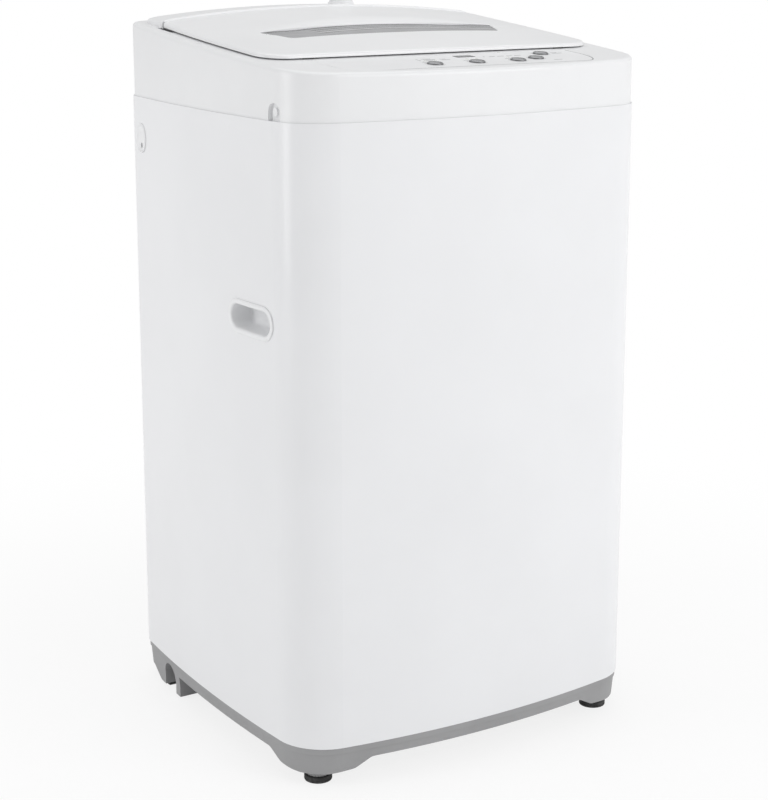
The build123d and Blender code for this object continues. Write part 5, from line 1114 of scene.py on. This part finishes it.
# Water inlet
def inlet_grid():
    """Valve and inlet: a bore, a screw thread round the end, a shoulder, and a block with round corners."""
    angle = around(144)
    plain = np.ones_like(angle)
    bore, bore_level = columns(INLET_BORE)
    neck, neck_level = columns(INLET_NECK)
    share, block_level = columns(INLET_BLOCK)
    height = np.linspace(INLET_HIGH, INLET_LOW, 130)[:, None]
    fade = ease((height - INLET_FADE_LOW) / INLET_FADE_RUN)
    thread = INLET_RADIUS - INLET_THREAD * screw_wave(height, angle, INLET_PITCH) * fade
    block = squared(angle, BLOCK_HALF_X, BLOCK_HALF_Y, BLOCK_SQUARE) * share
    radius = np.vstack([bore * plain, thread, neck * plain, block])
    height = np.vstack([bore_level, height, neck_level, block_level])
    return polar(angle, radius, height, INLET_X, INLET_Y)


def seam_grid():
    """Upturned front edge of the rear cover: a bead that follows the lid's crown and sinks at both ends."""
    x = np.linspace(-1, 1, 121)
    back, up = columns(SEAM_SECTION)
    taper = ease((1 - np.abs(x)) / SEAM_TAPER)
    along = SEAM_HALF * x
    z = lid_z(along, LID_REAR) + up * (SEAM_END_SHARE + (1 - SEAM_END_SHARE) * taper)
    ends = stack(along, LID_REAR + SEAM_GAP + back, z)
    middle = np.broadcast_to(ends.mean(axis=0), ends.shape)
    return np.concatenate([middle[:, :1], ends, middle[:, -1:]], axis=1)


# Drum
def pulsator_grid():
    """Pulsator: a disc whose height adds a bell in the middle and vanes that fall off across and along."""
    angle = around(240)
    radius = np.append(np.linspace(0, PULSATOR_FLAT, 70), PULSATOR_RIM)[:, None]
    bell = BELL_HEIGHT * ease((BELL_RADIUS - radius) / BELL_RUN)
    across = radius * np.abs(np.sin(VANE_PAIRS * angle)) / VANE_PAIRS
    vane = VANE_HEIGHT * np.clip(1 - (across / VANE_HALF) ** 2, 0.0, 1.0) ** VANE_POWER
    vane = vane * ease((radius - VANE_START) / VANE_START_RUN) * ease((VANE_END - radius) / VANE_END_RUN)
    ripple = RIPPLE_HEIGHT * np.cos(radius / RIPPLE_LENGTH) * ease((radius - RIPPLE_START) / RIPPLE_RUN)
    edge = np.clip(radius - PULSATOR_FLAT, 0.0, None)
    z = PULSATOR_Z + np.maximum(bell, vane) + ripple - RIM_FALL * edge
    under = polar(angle, np.array(PULSATOR_BACK)[:, None], PULSATOR_UNDER)
    return np.concatenate([polar(angle, radius, z), under])


def balance_grid():
    """Balance ring: a rounded box section carried round, with shallow ribs across its top."""
    angle = around(288)
    radius, height, on_top = columns(RING_SECTION)
    rib = RIB_DEPTH * (0.5 - 0.5 * np.cos(RING_RIBS * angle)) ** RIB_POWER
    return polar(angle, radius, height - on_top * rib)


# Hanging and drain
def spring_grid(x, y):
    """Coil spring: a round wire carried up a helix, c = (R cos a, R sin a, rise), with both ends closed."""
    angle = np.linspace(0, 2 * math.pi * SPRING_TURNS, 40 * SPRING_TURNS + 1)
    rise = np.linspace(SPRING_LOW, SPRING_HIGH, len(angle))
    slope = (SPRING_HIGH - SPRING_LOW) / (2 * math.pi * SPRING_TURNS)
    zero = np.zeros_like(angle)
    out = stack(np.cos(angle), np.sin(angle), zero)[:, None, :]
    ahead = stack(-SPRING_RADIUS * np.sin(angle), SPRING_RADIUS * np.cos(angle), zero + slope)
    ahead = ahead / np.linalg.norm(ahead, axis=-1, keepdims=True)
    across = np.cross(ahead, out[:, 0])[:, None, :]
    turn = around(12)[None, :, None]
    middle = stack(x + SPRING_RADIUS * np.cos(angle), y + SPRING_RADIUS * np.sin(angle), rise)[:, None, :]
    wire = middle + SPRING_WIRE * (np.cos(turn) * out + np.sin(turn) * across)
    ends = np.broadcast_to(middle, wire.shape)
    return np.concatenate([ends[:1], wire, ends[-1:]])


def bellows_grid():
    """Drain bellows: a tube whose radius adds a rounded rib for each wave of its height, and a plain bore."""
    share = np.linspace(0, 1, 24 * BELLOWS_RIBS + 1)
    wave = 0.5 - 0.5 * np.cos(2 * math.pi * BELLOWS_RIBS * share)
    height = BELLOWS_LOW + (BELLOWS_HIGH - BELLOWS_LOW) * share
    outside = stack(BELLOWS_RADIUS + BELLOWS_RIB * wave ** BELLOWS_POWER, height)
    inside = stack(BELLOWS_BORE, height[::-1])
    return turned(np.vstack([outside, inside]), 72) + np.array([BELLOWS_X, BELLOWS_Y, 0.0])


make_piece("lid_shell", "lid", "white_plastic", ["lid"],
           [(lid_grid(), True, True)] + rounds(*map(knuckle_grid, KNUCKLE_PLACES)), crease=50.0)
make_piece("window_plate", "lid", "window_tint", ["lid_window"], rounds(window_grid()))
for name, (x, y) in BUTTONS.items():
    grid = on_deck(turned(button_profile(), 96), x, y)
    button = make_piece(name + "_cap", name, "button_silver", [name], rounds(grid))
    offset = points_of(button) - np.array([x, y, 0.0])
    mark_points(button, "from_middle", np.hypot(offset[:, 0], offset[:, 1]))
overlay = make_piece("fascia_sheet", "case", "fascia", ["control_overlay"], overlay_grids())
mark_points(overlay, "from_edge", overlay_from_edge(points_of(overlay)))
make_piece("display_pane", "case", "display_dark", ["display_window"], rounds(pane_grid()))
lenses = [lens_grid(x, y) for x, y in LIGHTS]
make_piece("lamp_lenses", "case", "light_lens", ["indicator_lights"], rounds(*lenses))
make_piece("seam_edge", "case", "white_plastic", [], [(seam_grid(), True, False)])
for side, name in ((-1, "left"), (1, "right")):
    make_piece(name + "_carry_handle", "case", "white_plastic", [name + "_handle"],
               rounds(handle_grid(side)), crease=45.0)
    make_piece(name + "_stud", name + "_foot_stud", "grey_plastic", [name + "_foot_stud"],
               rounds(foot_stud_grid(FOOT_X * side)), crease=45.0)
    make_piece(name + "_sole", name + "_foot", "black_rubber", [name + "_foot_pad"],
               rounds(foot_pad_grid(FOOT_X * side)), crease=45.0)
make_piece("hook_plate", "case", "white_plastic", ["hose_hook"], rounds(hook_grid()), crease=45.0)
make_piece("inlet_stub", "case", "white_plastic", ["inlet_valve"], rounds(inlet_grid()))
make_piece("vaned_pulsator", "pulsator", "tub_plastic", ["pulsator"], rounds(pulsator_grid()), crease=50.0)
make_piece("ribbed_balance_ring", "basket", "tub_plastic", ["balance_ring"],
           [(balance_grid(), True, True)], crease=50.0)
springs = [spring_grid(x, y) for x in (-ROD_X, ROD_X) for y in (-ROD_Y, ROD_Y)]
make_piece("coil_springs", "case", "steel", ["suspension_springs"], rounds(*springs), crease=60.0,
           stretch=("tub", SPRING_LOW, SPRING_HIGH))
make_piece("ribbed_bellows", "case", "black_rubber", ["sump_bellows"], [(bellows_grid(), True, True)],
           crease=60.0, stretch=("tub", BELLOWS_LOW, BELLOWS_HIGH))


# Studio
def studio_floor():
    """Flat pale floor: white to the camera and in reflections, with some of its lit shade near the object."""
    edge = np.array([-FLOOR_HALF, FLOOR_HALF])
    mesh = make_mesh("floor", [(stack(edge[:, None], edge[None, :], FLOOR_Z), False, False)], crease=30.0)
    mesh.flip_normals()
    finish = Finish("floor_white", (0.9, 0.9, 0.9), 0.8)
    camera, glossy, through = [finish.add("ShaderNodeLightPath", None, None, name)
                               for name in ("Is Camera Ray", "Is Glossy Ray", "Is Transmission Ray")]
    seen = camera.maths("MAXIMUM", glossy).maths("MAXIMUM", through)
    glow = finish.add("ShaderNodeEmission", None, {"Color": (1.0, 1.0, 1.0, 1.0), "Strength": 1.0})
    shader = Wire(finish, finish.shader.outputs[0])
    x, y = finish.axes()[:2]
    far = (x * x + y * y).maths("SQRT").step(FLOOR_NEAR, FLOOR_FAR)
    share = seen * (FLOOR_GLOW + (1 - FLOOR_GLOW) * far)
    blend = finish.add("ShaderNodeMixShader", None, {0: share, 1: shader, 2: glow})
    finish.tree.links.new(blend.socket, finish.tree.nodes["Material Output"].inputs["Surface"])
    mesh.materials.append(finish.material)
    floor = bpy.data.objects.new("floor", mesh)
    bpy.context.scene.collection.objects.link(floor)


def soft_lamp(name, place, aim, size, power):
    """Large soft area lamp at a place, turned to face a point."""
    light = bpy.data.lights.new(name, "AREA")
    light.shape = "RECTANGLE"
    light.size = size[0]
    light.size_y = size[1]
    light.energy = power
    lamp = bpy.data.objects.new(name, light)
    bpy.context.scene.collection.objects.link(lamp)
    lamp.location = place
    ahead = mathutils.Vector(aim) - mathutils.Vector(place)
    lamp.rotation_euler = ahead.to_track_quat("-Z", "Y").to_euler()


def studio_world(level):
    """White to the camera, and an even pale light of the given level on the object."""
    world = bpy.data.worlds.new("studio")
    world.use_nodes = True
    bpy.context.scene.world = world
    nodes = Nodes(world.node_tree)
    seen = nodes.add("ShaderNodeLightPath", None, None, "Is Camera Ray")
    back = nodes.tree.nodes["Background"]
    nodes.feed(back.inputs["Color"], (1.0, 1.0, 1.0, 1.0))
    nodes.feed(back.inputs["Strength"], level + seen * (1.0 - level))


def main_camera():
    """Camera at the photograph's angle: three quarters from the left, a little above the lid."""
    data = bpy.data.cameras.new("main_camera")
    data.lens = CAMERA_LENS
    data.sensor_width = CAMERA_SENSOR
    data.shift_y = CAMERA_SHIFT
    camera = bpy.data.objects.new("main_camera", data)
    camera.location = CAMERA_PLACE
    camera.rotation_euler = (math.pi / 2 - CAMERA_DIP, 0.0, CAMERA_TURN)
    bpy.context.scene.collection.objects.link(camera)
    bpy.context.scene.camera = camera


studio_floor()
studio_world(WORLD_LEVEL)
for lamp in LAMPS:
    soft_lamp(*lamp)
main_camera()
bpy.context.scene.view_settings.view_transform = "Standard"
